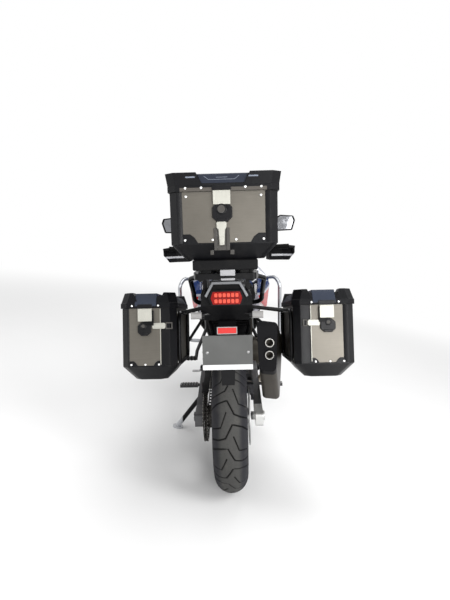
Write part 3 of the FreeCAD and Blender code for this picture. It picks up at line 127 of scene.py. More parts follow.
class Shell:
    """Vertices and faces gathered for one piece, in upright millimetres, or in a level side case's."""

    def __init__(self, tilted=False):
        self.points, self.faces, self.count, self.marks = [], [], 0, []
        self.tilted = tilted

    def add(self, points, faces, mark=None):
        points = np.asarray(points, float).reshape(-1, 3)
        self.points.append(points)
        self.faces.extend([tuple(int(i) + self.count for i in face) for face in faces])
        self.marks.append(np.zeros(len(points)) if mark is None else np.asarray(mark, float).ravel())
        self.count += len(points)
        return self

    def grid(self, points, close_u=False, close_v=False, flip=False, mark=None):
        """Quads between neighbours of a (u, v) array of points; a closed way joins its last row to its first."""
        nu, nv = points.shape[:2]
        index = np.arange(nu * nv).reshape(nu, nv)
        if close_u:
            index = np.vstack([index, index[:1]])
        if close_v:
            index = np.hstack([index, index[:, :1]])
        quads = np.stack([index[:-1, :-1], index[1:, :-1], index[1:, 1:], index[:-1, 1:]], -1).reshape(-1, 4)
        if flip:
            quads = quads[:, ::-1]
        return self.add(points, quads.tolist(), mark)

    def prism(self, outline, steps, at, u, v, w):
        """Plate whose outline is drawn in by each step's inset as it rises along w, closed by flat ends.

        Each outline point moves along the mean of its two edges' inward normals by the inset.
        """
        flat = np.asarray(outline, float)
        ahead = np.roll(flat, -1, 0) - flat
        ahead /= np.linalg.norm(ahead, axis=1)[:, None]
        normal = np.stack([-ahead[:, 1], ahead[:, 0]], 1)
        area = np.sum(flat[:, 0] * np.roll(flat[:, 1], -1) - np.roll(flat[:, 0], -1) * flat[:, 1])
        normal *= 1 if area > 0 else -1
        before = np.roll(normal, 1, 0)
        inward = (normal + before) / (1 + np.sum(normal * before, 1))[:, None]
        at, u, v, w = (np.asarray(a, float) for a in (at, u, v, w))
        rings = []
        for rise, inset in steps:
            ring = flat + inward * inset
            rings.append(at + ring[:, :1] * u + ring[:, 1:] * v + rise * w)
        rings = np.array(rings)
        turn = np.dot(np.cross(u, v), w) * area > 0
        n = len(flat)
        faces = []
        for k in range(len(rings) - 1):
            for i in range(n):
                j = (i + 1) % n
                quad = (k * n + i, k * n + j, (k + 1) * n + j, (k + 1) * n + i)
                faces.append(quad if turn else quad[::-1])
        low, high = tuple(range(n)), tuple(range((len(rings) - 1) * n, len(rings) * n))
        faces.append(low[::-1] if turn else low)
        faces.append(high if turn else high[::-1])
        return self.add(rings, faces)

    def lathe(self, profile, at, axis, count=16):
        """Profile of radius and height turned about an axis; a radius of 0 at an end closes it in a point."""
        axis = Vector(axis).normalized()
        side = axis.orthogonal().normalized()
        other = axis.cross(side)
        turn = np.arange(count) * TURN / count
        around = np.cos(turn)[:, None] * np.array(side) + np.sin(turn)[:, None] * np.array(other)
        points, faces = [], []
        rows = []
        for radius, height in profile:
            base = np.array(at, float) + height * np.array(axis)
            if radius == 0:
                rows.append([sum(len(p) for p in points)] * count)
                points.append(base[None])
            else:
                start = sum(len(p) for p in points)
                rows.append(list(range(start, start + count)))
                points.append(base + radius * around)
        for low, high in zip(rows, rows[1:]):
            for i in range(count):
                j = (i + 1) % count
                face = []
                for corner in (low[i], low[j], high[j], high[i]):
                    if corner not in face:
                        face.append(corner)
                faces.append(tuple(face))
        for row, order in ((rows[0], -1), (rows[-1], 1)):
            if len(set(row)) > 1:
                faces.append(tuple(row[::order]))
        return self.add(np.vstack(points), faces)

    def piece(self, name, finish, body, slot, angle=35.0, mark=None):
        """Leans the gathered surface over and makes it one object that rides on a body."""
        mesh = bpy.data.meshes.new(name)
        points = np.vstack(self.points)
        points = parked(hung(points) if self.tilted else points)
        mesh.from_pydata(points, [], self.faces)
        mesh.shade_smooth()
        mesh.set_sharp_from_angle(angle=math.radians(angle))
        if mark:
            layer = mesh.attributes.new(mark, "FLOAT", "POINT")
            layer.data.foreach_set("value", np.concatenate(self.marks))
        obj = bpy.data.objects.new(name, mesh)
        bpy.context.scene.collection.objects.link(obj)
        mesh.materials.append(finish)
        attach(obj, body)
        return obj


def smoothstep(x, low, high):
    t = np.clip((x - low) / (high - low), 0, 1)
    return t * t * (3 - 2 * t)


# Materials

class Link:
    """One output of a shader node; each operator on it adds a Math node."""

    def __init__(self, finish, socket):
        self.finish, self.socket = finish, socket

    def math(self, operation, *others, clamp=False):
        values = dict(enumerate((self,) + others))
        return self.finish.node("ShaderNodeMath", {"operation": operation, "use_clamp": clamp}, values)

    def __add__(self, other):
        return self.math("ADD", other)

    def __sub__(self, other):
        return self.math("SUBTRACT", other)

    def __mul__(self, other):
        return self.math("MULTIPLY", other)

    def __rsub__(self, other):
        return self * -1.0 + other

    def __abs__(self):
        return self.math("ABSOLUTE")

    def root(self):
        return self.math("SQRT")


class Finish:
    """A procedural material, put together node by node around one Principled shader."""

    def __init__(self, name, **constants):
        self.material = bpy.data.materials.new(name)
        self.material.use_nodes = True
        self.tree = self.material.node_tree
        self.shader = self.tree.nodes["Principled BSDF"]
        self.put(**constants)
        self.spot = None

    def put(self, **values):
        """Sets or links shader sockets, named with underscores for spaces."""
        for key, value in values.items():
            self.feed(self.shader.inputs[key.replace("_", " ")], value)
        return self

    def feed(self, socket, value):
        if isinstance(value, Link):
            self.tree.links.new(value.socket, socket)
        elif socket.type == "RGBA" and len(value) == 3:
            socket.default_value = (*value, 1.0)
        else:
            socket.default_value = value

    def node(self, kind, settings=None, inputs=None, output=0):
        node = self.tree.nodes.new(kind)
        for key, value in (settings or {}).items():
            if key == "stops":
                while len(node.color_ramp.elements) < len(value):
                    node.color_ramp.elements.new(0.5)
                for element, (at, colour) in zip(node.color_ramp.elements, value):
                    element.position, element.color = at, colour
            else:
                setattr(node, key, value)
        for key, value in (inputs or {}).items():
            self.feed(node.inputs[key], value)
        return Link(self, node.outputs[output])

    def place(self):
        """Object coordinates brought back into the upright frame, in metres."""
        if self.spot is None:
            here = self.node("ShaderNodeTexCoord", output="Object")
            back = Matrix.Rotation(LEAN, 4, "Y")
            self.spot = self.node("ShaderNodeMapping", inputs={
                "Vector": here, "Location": tuple(-(back @ SHIFT)), "Rotation": (0.0, LEAN, 0.0)})
        return self.spot

    def axes(self):
        spot = self.place()
        node = self.tree.nodes.new("ShaderNodeSeparateXYZ")
        self.feed(node.inputs[0], spot)
        return [Link(self, output) for output in node.outputs]

    def stretched(self, scale):
        return self.node("ShaderNodeVectorMath", {"operation": "MULTIPLY"}, {0: self.place(), 1: scale})

    def noise(self, scale, detail=3.0, rough=0.5, stretch=None):
        at = self.stretched(stretch) if stretch else self.place()
        return self.node("ShaderNodeTexNoise", inputs={
            "Vector": at, "Scale": scale, "Detail": detail, "Roughness": rough})

    def cells(self, scale, feature="F1"):
        return self.node("ShaderNodeTexVoronoi", {"feature": feature}, {"Vector": self.place(), "Scale": scale})

    def ramp(self, value, low, high, to=(0.0, 1.0)):
        """Smooth step of a number from low to high, onto the given range."""
        return self.node("ShaderNodeMapRange", {"interpolation_type": "SMOOTHSTEP"}, {
            "Value": value, "From Min": low, "From Max": high, "To Min": to[0], "To Max": to[1]})

    def blend(self, factor, first, second):
        """Colour between two colours."""
        return self.node("ShaderNodeMix", {"data_type": "RGBA"}, {0: factor, 6: first, 7: second}, output=2)

    def bump(self, height, distance, under=None):
        inputs = {"Height": height, "Distance": distance, "Strength": 1.0}
        if under is not None:
            inputs["Normal"] = under
        return self.node("ShaderNodeBump", inputs=inputs)

    def soft_edge(self, radius):
        """Normal rounded over the edges by the Bevel node."""
        return self.node("ShaderNodeBevel", {"samples": 4}, {"Radius": radius})

    def edge(self, rounded):
        """How far the rounded normal turns from the true one: 0 on a face, up to about 1 on an edge."""
        true = self.node("ShaderNodeNewGeometry", output="Normal")
        along = self.node("ShaderNodeVectorMath", {"operation": "DOT_PRODUCT"}, {0: rounded, 1: true}, output="Value")
        return self.ramp(1 - along, 0.01, 0.12)


def tint(colour, factor):
    return tuple(min(1.0, c * factor) for c in colour)


def painted(name, colour, rough=0.42, metal=0.0, worn=(0.32, 0.32, 0.33), grain=0.00006, coat=0.0, radius=0.0012,
            shine=0.14):
    """Paint or powder coat with faint mottling, fine orange peel, dust and rubbed edges."""
    f = Finish(name, Metallic=metal, Coat_Roughness=0.08, Specular_IOR_Level=shine)
    rounded = f.soft_edge(radius)
    rubbed = f.edge(rounded) * f.ramp(f.noise(60.0), 0.5, 0.68)
    mottle = f.blend(f.noise(9.0, 5.0), tint(colour, 0.82), tint(colour, 1.2))
    dust = f.ramp(f.noise(14.0, 6.0, 0.6), 0.5, 0.8, (0.0, 0.025))
    dusty = f.blend(dust, mottle, (0.30, 0.27, 0.23))
    f.put(Base_Color=f.blend(rubbed * 0.7, dusty, worn),
          Roughness=f.noise(40.0) * 0.14 + (rough - 0.07),
          Coat_Weight=coat,
          Normal=f.bump(f.noise(900.0, 2.0), grain, rounded))
    return f.material


def moulded(name, colour, rough=0.55, cell=1500.0, depth=0.00012, radius=0.0012, shine=0.1):
    """Grained plastic: small rounded cells pressed into the surface, paler where it is scuffed and dusty."""
    f = Finish(name, Specular_IOR_Level=shine)
    rounded = f.soft_edge(radius)
    scuff = f.edge(rounded) * f.ramp(f.noise(35.0), 0.45, 0.7)
    base = f.blend(f.noise(7.0, 5.0), tint(colour, 0.8), tint(colour, 1.25))
    dust = f.ramp(f.noise(18.0, 6.0, 0.65), 0.48, 0.8, (0.0, 0.025))
    f.put(Base_Color=f.blend(scuff * 0.25, f.blend(dust, base, (0.20, 0.18, 0.15)), (0.12, 0.12, 0.12)),
          Roughness=f.noise(30.0) * 0.16 + (rough - 0.08),
          Normal=f.bump(f.cells(cell), depth, rounded))
    return f.material


def brushed(name, colour, along="x", rough=0.34, metal=0.85, streak=700.0, radius=0.0008):
    """Brushed metal sheet: long fine streaks, faint smears and a rolled edge."""
    f = Finish(name, Metallic=metal)
    rounded = f.soft_edge(radius)
    scale = {"x": (0.02, 1.0, 1.0), "y": (1.0, 0.02, 1.0), "z": (1.0, 1.0, 0.02)}[along]
    streaks = f.noise(streak, 2.0, 0.7, scale)
    smear = f.noise(5.0, 5.0, 0.6)
    base = f.blend(streaks, tint(colour, 0.80), tint(colour, 1.22))
    f.put(Base_Color=f.blend(f.ramp(smear, 0.35, 0.75, (0.0, 0.45)), base, tint(colour, 0.62)),
          Roughness=streaks * 0.14 + smear * 0.16 + (rough - 0.15),
          Normal=f.bump(streaks, 0.00003, rounded))
    return f.material


def ground_disc(name, colour, centre, rough=0.3):
    """Turned metal: rings about a wheel's axle."""
    f = Finish(name, Metallic=0.95)
    x, y, z = f.axes()
    dy, dz = y - centre[0] / 1000, z - centre[1] / 1000
    radius = (dy * dy + dz * dz).root()
    rings = f.node("ShaderNodeTexNoise", {"noise_dimensions": "1D"}, {"W": radius, "Scale": 2600.0, "Detail": 2.0})
    rounded = f.soft_edge(0.0006)
    f.put(Base_Color=f.blend(rings, tint(colour, 0.7), tint(colour, 1.2)),
          Roughness=rings * 0.2 + (rough - 0.1), Normal=f.bump(rings, 0.00004, rounded))
    return f.material


def lens(name, colour, rough=0.08, glow=None, strength=0.0, through=0.0, coat=0.6):
    """Lamp lens: clear coated plastic with fine moulded flutes and road film. The glow is a lamp's light; given to
    the rear reflector it is painted light.
    """
    f = Finish(name, Coat_Weight=coat, Transmission_Weight=through, IOR=1.45)
    film = f.ramp(f.noise(22.0, 5.0), 0.45, 0.85, (0.0, 0.22))
    f.put(Base_Color=f.blend(film, colour, tint(colour, 0.7)), Roughness=film * 0.5 + rough,
          Normal=f.bump(f.noise(500.0, 1.0), 0.00002))
    if glow:
        f.put(Emission_Color=f.blend(film, glow, tint(glow, 0.6)), Emission_Strength=strength)
    return f.material


def tyre_rubber(name):
    """Rubber worn grey on the middle of the tread, bluish black on shoulders and walls, and painted shade near black
    in the grooves.
    """
    f = Finish(name, Specular_IOR_Level=0.15)
    x, y, z = f.axes()
    groove = f.node("ShaderNodeAttribute", {"attribute_name": "groove"}, output="Fac")
    speck = f.noise(160.0, 6.0, 0.6)
    worn = f.blend(speck, (0.030, 0.030, 0.029), (0.062, 0.061, 0.058))
    fresh = f.blend(speck, (0.010, 0.010, 0.012), (0.024, 0.024, 0.028))
    side = f.ramp(abs(x) + f.noise(9.0) * 0.012, 0.036, 0.060)
    dust = f.ramp(f.noise(24.0, 6.0), 0.5, 0.85, (0.0, 0.25))
    tread = f.blend(dust * speck, f.blend(side, worn, fresh), (0.16, 0.145, 0.125))
    # the groove mark darkens the rubber to near black: painted shade in the grooves
    f.put(Base_Color=f.blend(groove * 0.97, tread, (0.002, 0.002, 0.002)), Roughness=speck * 0.25 + 0.6,
          Normal=f.bump(f.noise(1300.0, 3.0), 0.00012))
    return f.material


def seat_cover(name, colour):
    """Vinyl with a pebbled grain, shinier and paler in patches of wear."""
    f = Finish(name, Specular_IOR_Level=0.05)
    pebble = f.cells(620.0, "SMOOTH_F1")
    worn = f.ramp(f.noise(6.0, 4.0), 0.4, 0.7)
    f.put(Base_Color=f.blend(worn, tint(colour, 0.8), tint(colour, 1.5)), Roughness=0.74 - worn * 0.1,
          Normal=f.bump(pebble, 0.00035))
    return f.material


def oiled_chain(name):
    f = Finish(name, Metallic=0.5, Specular_IOR_Level=0.2)
    grime = f.ramp(f.noise(120.0, 5.0), 0.42, 0.62)
    rounded = f.soft_edge(0.0008)
    f.put(Base_Color=f.blend(grime, (0.07, 0.066, 0.06), (0.018, 0.016, 0.014)), Roughness=grime * 0.4 + 0.3,
          Normal=f.bump(f.noise(400.0), 0.00015, rounded))
    return f.material


def zoned(name, base, zones, rough=0.4, metal=0.0, coat=0.0, grain=0.00005, shine=0.14):
    """One cover whose colour and roughness change by place.

    Each zone is a function that makes a 0 to 1 mask out of x, y and z in metres, its colour and its roughness.
    """
    f = Finish(name, Metallic=metal, Coat_Weight=coat, Coat_Roughness=0.07, Specular_IOR_Level=shine)
    x, y, z = f.axes()
    mottle = f.noise(11.0, 5.0)
    shade, gloss = f.blend(mottle, tint(base, 0.8), tint(base, 1.25)), f.noise(40.0) * 0.14 + (rough - 0.07)
    for mask, colour, zone_rough in zones:
        here = mask(x, y, z)
        shade = f.blend(here, shade, f.blend(mottle, tint(colour, 0.86), tint(colour, 1.12)))
        gloss = here * (zone_rough - gloss) + gloss
    f.put(Base_Color=shade, Roughness=gloss, Normal=f.bump(f.noise(900.0, 2.0), grain, f.soft_edge(0.0012)))
    return f.material


def above(value, low, high):
    return value.finish.ramp(value, low, high)


def below(value, low, high):
    return value.finish.ramp(value, low, high, (1.0, 0.0))


def inside(value, low, high, soft=0.0005):
    """1 between two places and 0 beyond them."""
    return above(value, low - soft, low + soft) * below(value, high - soft, high + soft)


def round_spot(x, z, at, radius, soft=0.4):
    """1 inside a circle in the rear view, given in millimetres."""
    dx, dz = x - at[0] / 1000, z - at[1] / 1000
    return below((dx * dx + dz * dz).root(), radius / 1000 - soft / 1000, radius / 1000 + soft / 1000)


def colour_setting(name, description, default):
    return FloatVectorProperty(name=name, description=description, subtype="COLOR", size=3, min=0, max=1,
                               default=default)


class CaseSettings(bpy.types.PropertyGroup):
    """Sizes and colours of the three cases' trim."""
    panel: colour_setting("Panel colour", "Brushed sheet of the cases", (0.125, 0.115, 0.098))
    moulding: colour_setting("Moulding colour", "Corner and foot mouldings", (0.0035, 0.0036, 0.0045))
    rivet: FloatProperty(name="Rivet radius", description="Radius of a bright rivet head in millimetres",
                         default=4.2, min=1, max=10)
    proud: FloatProperty(name="Moulding thickness", description="How far a moulding stands off the sheet, in mm",
                         default=1.6, min=0.5, max=4)


class TyreSettings(bpy.types.PropertyGroup):
    """Tread of the two tyres."""
    rear_pitches: IntProperty(name="Rear pitches", description="Pairs of bent grooves around the rear tyre",
                              default=11, min=6, max=30)
    front_pitches: IntProperty(name="Front pitches", description="Tread blocks around the front tyre",
                               default=52, min=8, max=90)
    depth: FloatProperty(name="Groove depth", description="Depth of the tread grooves in millimetres",
                         default=6.0, min=1, max=9)


class PaintSettings(bpy.types.PropertyGroup):
    """Colours of the bodywork."""
    blue: colour_setting("Blue", "Upper bodywork", (0.012, 0.028, 0.105))
    white: colour_setting("White", "Middle bodywork", (0.40, 0.41, 0.46))
    red: colour_setting("Red", "Side panels", (0.42, 0.02, 0.025))


class SeatSettings(bpy.types.PropertyGroup):
    """How the two seats are padded."""
    voxel: FloatProperty(name="Voxel", description="Remesh size before the cloth runs", subtype="DISTANCE",
                         unit="LENGTH", default=0.0055, min=0.003, max=0.02)
    pressure: FloatProperty(name="Pressure", description="Inner pressure of the padding", default=4.0, min=0, max=20)
    swell: FloatProperty(name="Swell cap", description="Furthest a point may move", subtype="DISTANCE",
                         unit="LENGTH", default=0.012, min=0.001, max=0.03)


class StageSettings(bpy.types.PropertyGroup):
    """Floor, lights and camera."""
    floor: colour_setting("Floor colour", "Plain pale floor", (0.80, 0.80, 0.80))
    key: FloatProperty(name="Key light", description="Power of the main soft light", subtype="POWER", unit="POWER",
                       default=128.0, min=0, max=2000)
    ambient: FloatProperty(name="Ambient", description="Strength of the even surrounding light", default=0.55,
                           min=0, max=2)
    lens: FloatProperty(name="Lens", description="Focal length on a 36 mm sensor", subtype="DISTANCE_CAMERA",
                        default=27.0, min=10, max=200)


# Rear grooves: distance from a groove's line, in mm, where its wall starts and where it is full depth
GROOVE_EDGE, GROOVE_FLOOR = 3.6, 1.9


def tyre_surface(size, centre_y, centre_z, groove, columns, rows):
    """Closed tyre: angle about the axle by place on its section.

    The section runs up a wall, over a half-circle crown and down the other wall, and back along the
    bead. The radius falls by groove(angle, arc length from the middle) where the tread is cut.
    """
    radius, half, bead, rim_half = size
    crown = radius - half
    lip = bead + FLANGE_RISE
    bend = np.linspace(-math.pi / 2, math.pi / 2, rows)
    tread_x, tread_r = half * np.sin(bend), crown + half * np.cos(bend)
    walls = [(rim_half, bead), (rim_half, lip), (rim_half + FLANGE_T, lip)]
    slope = [(rim_half + FLANGE_T + t * (half - rim_half - FLANGE_T), lip + t * (crown - lip))
             for t in (0.12, 0.2, 0.24, 0.5, 0.8)]
    side = walls + slope
    x = np.concatenate([[-a for a, _ in side], tread_x, [a for a, _ in reversed(side)]])
    r = np.concatenate([[b for _, b in side], tread_r, [b for _, b in reversed(side)]])
    arc = np.concatenate([np.full(len(side), -99.0), half * bend / (half * math.pi / 2), np.full(len(side), 99.0)])
    angle = np.arange(columns) * TURN / columns
    cut = groove(angle[:, None], arc[None, :])
    on_tread = np.abs(arc) < 1.5
    normal_x = np.where(on_tread, x / half, 0)
    normal_r = np.where(on_tread, (r - crown) / half, 0)
    rr = r[None, :] - cut * normal_r[None, :]
    xx = x[None, :] - cut * normal_x[None, :]
    points = np.stack([xx, centre_y + rr * np.cos(angle)[:, None], centre_z + rr * np.sin(angle)[:, None]], -1)
    return points, cut


class MOTORCYCLE_OT_tyres(bpy.types.Operator):
    """Cut the tread of both tyres"""
    bl_idname = "motorcycle.tyres"
    bl_label = "Tyres"

    def execute(self, context):
        sizes = context.scene.motorcycle_tyres
        rubber = tyre_rubber("tyre_rubber")

        def rear(angle, arc):
            """Bent grooves from edge to edge, each second one mirrored, and a short groove beside each.

            A groove is cut where the distance to its line of straight runs is under half its width.
            """
            turn = angle * sizes.rear_pitches / (TURN)
            pitch, reach = TURN * REAR_TYRE[0] / sizes.rear_pitches, REAR_TYRE[1] * math.pi / 2
            bent = [(0.38, -0.80), (0.345, -0.42), (0.29, -0.16), (0.0, 0.09), (0.06, 0.48), (0.18, 0.88)]
            short = [(0.255, 0.13), (0.57, 0.33), (0.62, 0.72)]
            nearest = np.full(np.broadcast_shapes(turn.shape, arc.shape), 99.0)
            for mirror in (1, -1):
                for line, slim in ((bent, 0.0), (short, 0.7)):
                    for (t0, a0), (t1, a1) in zip(line, line[1:]):
                        run, across = (t1 - t0) * pitch, mirror * (a1 - a0) * reach
                        for lap in (0, 1):
                            dt = ((turn + (0.0 if mirror > 0 else 0.5)) % 1.0 + lap - t0) * pitch
                            da = (arc - mirror * a0) * reach
                            share = np.clip((dt * run + da * across) / (run * run + across * across), 0, 1)
                            nearest = np.minimum(nearest, np.hypot(dt - share * run, da - share * across) + slim)
            return sizes.depth * smoothstep(-nearest, -GROOVE_EDGE, -GROOVE_FLOOR)

        def front(angle, arc):
            """Rows of blocks: two zigzag grooves round the tyre and cross cuts staggered by row."""
            turn = angle * sizes.front_pitches / (TURN)
            wave = 0.03 * np.abs((turn % 1.0) - 0.5)
            rings = 1 - smoothstep(np.abs(np.abs(arc) - 0.26 - wave), 0.02, 0.05)
            outer = 1 - smoothstep(np.abs(np.abs(arc) - 0.6 - wave), 0.02, 0.05)
            row = (np.abs(arc) > 0.26).astype(float) * 0.5 + (np.abs(arc) > 0.6) * 0.25
            cross = smoothstep(-np.abs((turn + row + 0.5 * arc) % 1.0 - 0.5), -0.14, -0.08)
            cross = cross * (1 - smoothstep(np.abs(arc), 0.84, 0.9))
            return 0.85 * sizes.depth * np.maximum(np.maximum(rings, outer), cross)

        for name, size, y, z, groove, body, columns, rows in (
                ("rear_tyre_tread", REAR_TYRE, 0.0, REAR_Z, rear, "rear_wheel", 968, 83),
                ("front_tyre_tread", FRONT_TYRE, WHEELBASE, FRONT_Z, front, "front_wheel", 1040, 57)):
            points, cut = tyre_surface(size, y, z, groove, columns, rows)
            shell = Shell().grid(points, True, True, mark=np.broadcast_to(cut / sizes.depth, points.shape[:2]))
            obj = shell.piece(name, rubber, body, "tyre_rubber", 50, mark="groove")
            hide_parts(name.replace("_tread", ""))
        return {"FINISHED"}


def case_outline(case, grow, corner=CHAMFER):
    x0, x1, y0, y1 = case["x0"] - grow, case["x1"] + grow, case["y0"] - grow, case["y1"] + grow
    return np.array([(x0 + corner, y0), (x1 - corner, y0), (x1, y0 + corner), (x1, y1 - corner),
                     (x1 - corner, y1), (x0 + corner, y1), (x0, y1 - corner), (x0, y0 + corner)])


def corner_moulding(shell, case, thick, reaches, low, high):
    """Upright strips over the four cut corners: a bent strip's plan carried from low to high.

    The reaches along the end and side walls are given from the rear right corner on, anticlockwise.
    """
    plan, outward = case_outline(case, 0.0), case_outline(case, thick)
    for at, reach in zip(range(1, 8, 2), reaches):
        a, b = plan[at], plan[(at + 1) % 8]
        before, after = plan[at - 1] - a, plan[(at + 2) % 8] - b
        before, after = before / np.linalg.norm(before), after / np.linalg.norm(after)
        inner = np.array([a + before * reach[0], a, b, b + after * reach[1]])
        a2, b2 = outward[at], outward[(at + 1) % 8]
        outer = np.array([a2 + before * (reach[0] - 1.2), a2, b2, b2 + after * (reach[1] - 1.2)])
        ring = np.vstack([inner, outer[::-1]])
        n = len(ring)
        points = np.array([np.column_stack([ring, np.full(n, z)]) for z in (low, high)])
        shell.grid(points.transpose(1, 0, 2), close_u=True)
        for k, order in ((0, 1), (1, -1)):
            index = [i * 2 + k for i in range(n)]
            shell.faces.append(tuple(shell.count - 2 * n + i for i in index[::order]))


def foot_moulding(shell, case, thick, lip):
    """Shell over the bevelled foot: the case's outline carried down the wall and in under the floor."""
    floor, shoulder = case["floor"], case["floor"] + FOOT_RISE
    rows = []
    for grow, z in ((0.0, shoulder + lip), (thick, shoulder + lip - 1), (thick, shoulder),
                    (-FOOT_INSET + thick, floor), (-FOOT_INSET - 14, floor - 0.4)):
        ring = case_outline(case, grow)
        rows.append(np.column_stack([ring, np.full(8, z)]))
    shell.grid(np.array(rows), close_v=True)


def rivet(shell, at, out, radius):
    """Low domed head with a turned-down rim, on a shank that reaches through a moulding."""
    shell.lathe([(radius * 0.7, -2.2), (radius * 0.7, 0.0), (radius, 0.0), (radius, 0.6), (radius * 0.86, 1.3),
                 (radius * 0.5, 1.9), (0, 2.1)], at, out, 12)


def bolt(shell, at, out, radius, rise=None):
    """Flanged hexagon head: a round washer face below six flats with a bevelled top."""
    rise = rise or radius * 0.9
    shell.lathe([(radius * 1.3, -0.6), (radius * 1.3, radius * 0.2), (radius * 1.1, radius * 0.3), (0, radius * 0.3)],
                at, out, 16)
    shell.lathe([(radius, radius * 0.2), (radius, rise * 0.85), (radius * 0.86, rise), (0, rise)], at, out, 6)


def bolt_ring(shell, at, out, ring, count, radius, turn=0.0):
    """Bolts evenly round a circle that faces along X."""
    for k in range(count):
        a = turn + TURN * k / count
        bolt(shell, (at[0], at[1] + ring * math.cos(a), at[2] + ring * math.sin(a)), out, radius)


def rect(cx, cz, w, h, cut=0.0):
    """Upright rectangle with its corners cut off."""
    x0, x1, z0, z1 = cx - w / 2, cx + w / 2, cz - h / 2, cz + h / 2
    if not cut:
        return oblong(x0, x1, z0, z1)
    return [(x0 + cut, z0), (x1 - cut, z0), (x1, z0 + cut), (x1, z1 - cut), (x1 - cut, z1), (x0 + cut, z1),
            (x0, z1 - cut), (x0, z0 + cut)]


REAR_WALL = dict(u=X, v=Z, w=BACK)


def on_rear(shell, outline, y, thick, bevel=1.2):
    """Plate on a wall that faces backwards, with its outer edge bevelled."""
    return shell.prism(outline, [(0, 0), (thick - bevel, 0), (thick, bevel)], (0, y, 0), **REAR_WALL)


def oblong(x0, x1, z0, z1):
    return [(x0, z0), (x1, z0), (x1, z1), (x0, z1)]


def ring_bars(shell, x0, x1, z0, z1, bar, y, thick):
    """Rectangular frame of four bars on a rear wall."""
    for sides in ((x0, x0 + bar, z0, z1), (x1 - bar, x1, z0, z1), (x0 + bar, x1 - bar, z0, z0 + bar),
                  (x0 + bar, x1 - bar, z1 - bar, z1)):
        on_rear(shell, oblong(*sides), y, thick, 0.6)


# Cases' fittings: reach of the corner mouldings along the end and side walls from the rear right corner on,
# rivets on the rear wall and on the lid's rim, and places of the latch plate, the lock and its key disc
CASES = {
    "top_case": dict(case=TOP_CASE, reach=((18, 11), (11, 11), (11, 11), (11, 18)), tilted=False,
                     wall=((-138, 1158), (-41, 1158), (41, 1158), (138, 1158), (-130, 1308), (130, 1308)),
                     rim=((-131, 1336), (-76, 1336), (76, 1336), (131, 1336)),
                     plate=(-6, 1302, 60, 46), hood=(-6, 1335, 66, 15), lock=(-5, 1252, 70, 66, 16),
                     key=(-8, 1263, 15)),
    "left_pannier": dict(case=LEFT_CASE, reach=((34, 12), (12, 8), (8, 8), (8, 6)), tilted=True, deck=(-330, 88),
                         wall=((-392, 662), (-335, 662), (-280, 662)), rim=((-385, 900), (-279, 900)),
                         plate=(-333, 862, 57, 50), hood=(-333, 899, 60, 14), lock=(-336, 806, 54, 54, 14),
                         key=(-340, 818, 9), strap=(-278, 818, 55), loop=(-250, -222), line=-272),
    "right_pannier": dict(case=RIGHT_CASE, reach=((20, 8), (8, 8), (8, 12), (12, 38)), tilted=True, deck=(390, 92),
                          wall=((351, 662), (409, 662), (464, 662)), rim=((339, 900), (448, 900)),
                          plate=(399, 862, 57, 50), hood=(399, 899, 66, 16), lock=(403, 806, 60, 54, 14),
                          key=(404, 819, 9), strap=(347, 818, 50), loop=(302, 321), line=336),
}


